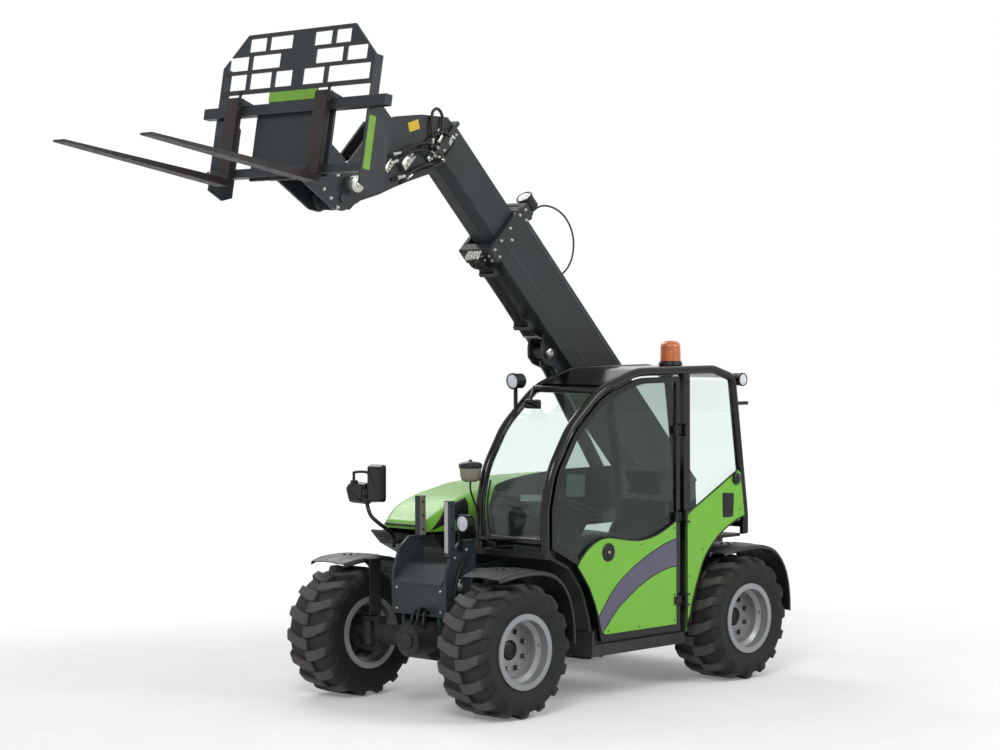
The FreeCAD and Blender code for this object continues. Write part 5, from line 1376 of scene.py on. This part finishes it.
def soft_box(name, section, half, cap=0.009, pressure=4.0):
    """A stuffed pad: a side outline drawn across x, remeshed and blown up as cloth, by cap at most."""
    outline = rounded(section, 34, 4)
    rings = []
    for share, shrink in ((-1, 26), (-0.97, 10), (-0.9, 2), (-0.5, 0), (0, 0), (0.5, 0), (0.9, 2),
                          (0.97, 10), (1, 26)):
        rings.append([at(SEAT_X + half * share, *p) for p in offset(outline, shrink)])
    middle = at(SEAT_X, *[sum(values) / len(section) for values in zip(*section)])
    made = piece(name, *loft(rings), SEAT, "chassis", smooth=True, origin=middle)
    remesh = made.modifiers.new("remesh", "REMESH")
    remesh.mode, remesh.voxel_size = "VOXEL", VOXEL
    swap_mesh(made)
    rest = [v.co.copy() for v in made.data.vertices]
    cloth = made.modifiers.new("cloth", "CLOTH")
    cloth.settings.use_pressure, cloth.settings.uniform_pressure_force = True, pressure
    cloth.settings.effector_weights.gravity = 0
    cloth.settings.quality = 4
    for number in range(1, FRAMES + 1):
        bpy.context.scene.frame_set(number)
    seen = made.evaluated_get(bpy.context.evaluated_depsgraph_get())
    moved = [v.co.copy() for v in seen.data.vertices]
    made.modifiers.remove(cloth)
    bpy.context.scene.frame_set(1)
    for vertex, before, after in zip(made.data.vertices, rest, moved):
        step = after - before
        vertex.co = before + step * min(1, cap / max(step.length, 1e-9))
    smooth = made.modifiers.new("smooth", "SMOOTH")
    smooth.iterations = 4
    made.modifiers.new("fine", "SUBSURF").levels = 1
    swap_mesh(made)
    made.data.polygons.foreach_set("use_smooth", [True] * len(made.data.polygons))
    return made


def swap_mesh(made):
    """Replace the mesh by what its modifiers make of it."""
    seen = made.evaluated_get(bpy.context.evaluated_depsgraph_get())
    mesh = bpy.data.meshes.new_from_object(seen)
    old, made.data = made.data, mesh
    made.modifiers.clear()
    bpy.data.meshes.remove(old)


def make_seat():
    """Three cloth pads, the shell behind and below them, the arm rests, belt stalk and seams."""
    pad = soft_box("seat_cushion", [(975, 700), (1446, 694), (1446, 786), (1200, 776), (975, 792)], 208)
    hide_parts("seat_cushions")
    back = soft_box("seat_back", [(1385, 812), (1462, 818), (1512, 1180), (1440, 1190)], 190)
    head = soft_box("seat_headrest", [(1447, 1204), (1510, 1204), (1516, 1370), (1456, 1362)], 120,
                    cap=0.005, pressure=2.0)
    shell = [block(at(300, 960, 680), at(640, 1460, 692), 0.006),
             block(at(300, 1490, 760), at(640, 1506, 1100), 0.006)]
    shell += [turned([(0, 0.006), (0.06, 0.006)], at(x, 1480, 1165), (0, 0.03, 1), 12) for x in (430, 510)]
    for x in (255, 672):
        shell.append(block(at(x - 12, 1120, 905), at(x + 24, 1430, 950), 0.012))
        shell.append(block(at(x, 1400, 760), at(x + 14, 1440, 920), 0.004))
    piece("seat_shell", *join(shell), VINYL, "chassis", smooth=True)
    belt = [at(690, 1440, 760), at(692, 1420, 830), at(640, 1395, 870), at(560, 1388, 905)]
    pipe("seat_belt_stalk", belt, 0.007, VINYL, "chassis")
    for n, y in enumerate((1050, 1150, 1250, 1350)):
        line = [at(SEAT_X + dx, y, 798 - abs(dx) * 0.02) for dx in range(-170, 171, 34)]
        pipe(f"seat_seam_{n}", line, 0.0022, VINYL, "chassis", resolution=2)


def make_interior():
    """The side console, dash pod with its dials, joystick, floor mat and steering wheel boss."""
    console = rounded([(700, 440), (1380, 440), (1380, 790), (1180, 850), (860, 850), (700, 700)],
                      {2: 40, 3: 60, 4: 60, 5: 60})
    piece("side_console", *plate(console, outer_side, 214, 292, 6), TRIM, "chassis")
    dash = rounded([(425, 905), (530, 905), (572, 950), (530, 1010), (415, 1000)],
                   {1: 20, 2: 25, 3: 30, 4: 30})
    piece("dash_pod", *plate(dash, outer_side, 330, 600, 8), TRIM, "chassis")
    dials = [turned([(-0.006, r), (0.008, r), (0.011, r * 0.93), (0.009, r * 0.86), (0.009, 0.001)],
                    at(x, 548, 972), (0, 0.9, 0.55), 28)
             for x, r in ((410, 0.034), (500, 0.034), (560, 0.02))]
    piece("dash_dials", *join(dials), LAMP, "chassis", smooth=True)
    boot = [(0, 0.034), (0.01, 0.03), (0.03, 0.018), (0.045, 0.010), (0.13, 0.009)]
    knob = [(0.12, 0.012), (0.135, 0.02), (0.17, 0.023), (0.20, 0.021), (0.215, 0.012), (0.218, 0.001)]
    stick = [turned(profile, at(255, 940, 846), (0, -0.12, 1), 20) for profile in (boot, knob)]
    stick += [turned([(0, 0.009), (0.006, 0.009), (0.009, 0.006)], at(250, y, 849), UP, 14)
              for y in (1030, 1060, 1090, 1120)]
    piece("joystick", *join(stick), VINYL, "chassis", smooth=True)
    mat = rounded([(360, 700), (690, 700), (690, 960), (360, 960)], 20)
    piece("floor_mat", *plate(mat, at, 440.5, 447, 2), HOSE, "chassis")
    hub = turned([(-0.004, 0.04), (0.008, 0.04), (0.014, 0.034), (0.016, 0.02)], at(465, 795, 1153),
                 (0, 0.47, 0.88), 28)
    piece("wheel_boss", *hub, VINYL, "chassis", smooth=True)


def make_screen_fittings():
    """A dark panel inside the cab's lower right side as painted shade over the hood seen through the glass,
    cards, wipers, seal, bar, inside mirror, tail lenses and weight bolts.
    """
    # a dark panel inside the cab's right side that hides the hood: painted shade for the hood seen through
    # the glass
    wall = rounded([(318, 1010), (1990, 1010), (1990, 1200), (1700, 1372), (980, 1376), (690, 1356),
                    (540, 1336), (420, 1310)], {2: 60, 3: 120, 7: 40})
    piece("painted_shade_panel", *plate(wall, outer_side, 176, 182, 1.5), HOOD_SHADE_PANEL, "chassis")
    papers = [plate(outline, outer_side, 184, 185.2, 0.3)
              for outline in ([(1060, 1200), (1230, 1188), (1236, 1330), (1066, 1340)],
                              [(640, 1196), (830, 1186), (833, 1226), (642, 1236)])]
    piece("bare_cards", *join(papers), PAPER, "chassis")
    for n, (x, top, radius) in enumerate(((232, 1330, 0.008), (262, 1350, 0.006))):
        path = [at(300 + n * 20, 262, 975), at(x + 30, 262, 1010), at(x, 270, 1200), at(x - 6, 306, top)]
        pipe(f"wiper_arm_{n}", path, radius, LAMP, "chassis")
    piece("wiper_motor", *block(at(286, 244, 950), at(345, 268, 985), 0.006), LAMP, "chassis")
    pipe("screen_seal", [at(225, 276, 1004), at(690, 276, 1004)], 0.007, LOUVRE, "chassis", poly=True)
    bar = [at(724, 2040, 1765), at(726, 2110, 1765), at(736, 2182, 1765)]
    pipe("rear_bar", bar, 0.012, LAMP, "chassis", poly=True)
    arm = [at(240, 700, 1890), at(300, 620, 1850), at(330, 590, 1815)]
    pipe("cab_mirror_arm", arm, 0.006, LAMP, "chassis")
    glass = rounded([(270, 1770), (400, 1770), (400, 1828), (270, 1828)], 14)
    piece("cab_mirror", *head_shape(glass, 600, 580, facing), LAMP, "chassis", smooth=True)
    piece("cab_mirror_glass", *plate(offset(glass, 5), facing, 600, 602, 1), MIRROR, "chassis")
    tails = [block(at(x, 2526, 800), at(x + 50, 2535.8, 900), 0.003) for x in (-232, 182)]
    piece("tail_lenses", *join(tails), RED, "chassis")
    heads = [bolt(at(s * 250, y, z), (s, 0, 0), 0.014, 0.010)
             for s in SIDES for y in (2430, 2500) for z in (560, 840)]
    piece("weight_bolts", *join(heads), CAST, "chassis", smooth=True)


make_seat()
make_interior()
make_screen_fittings()
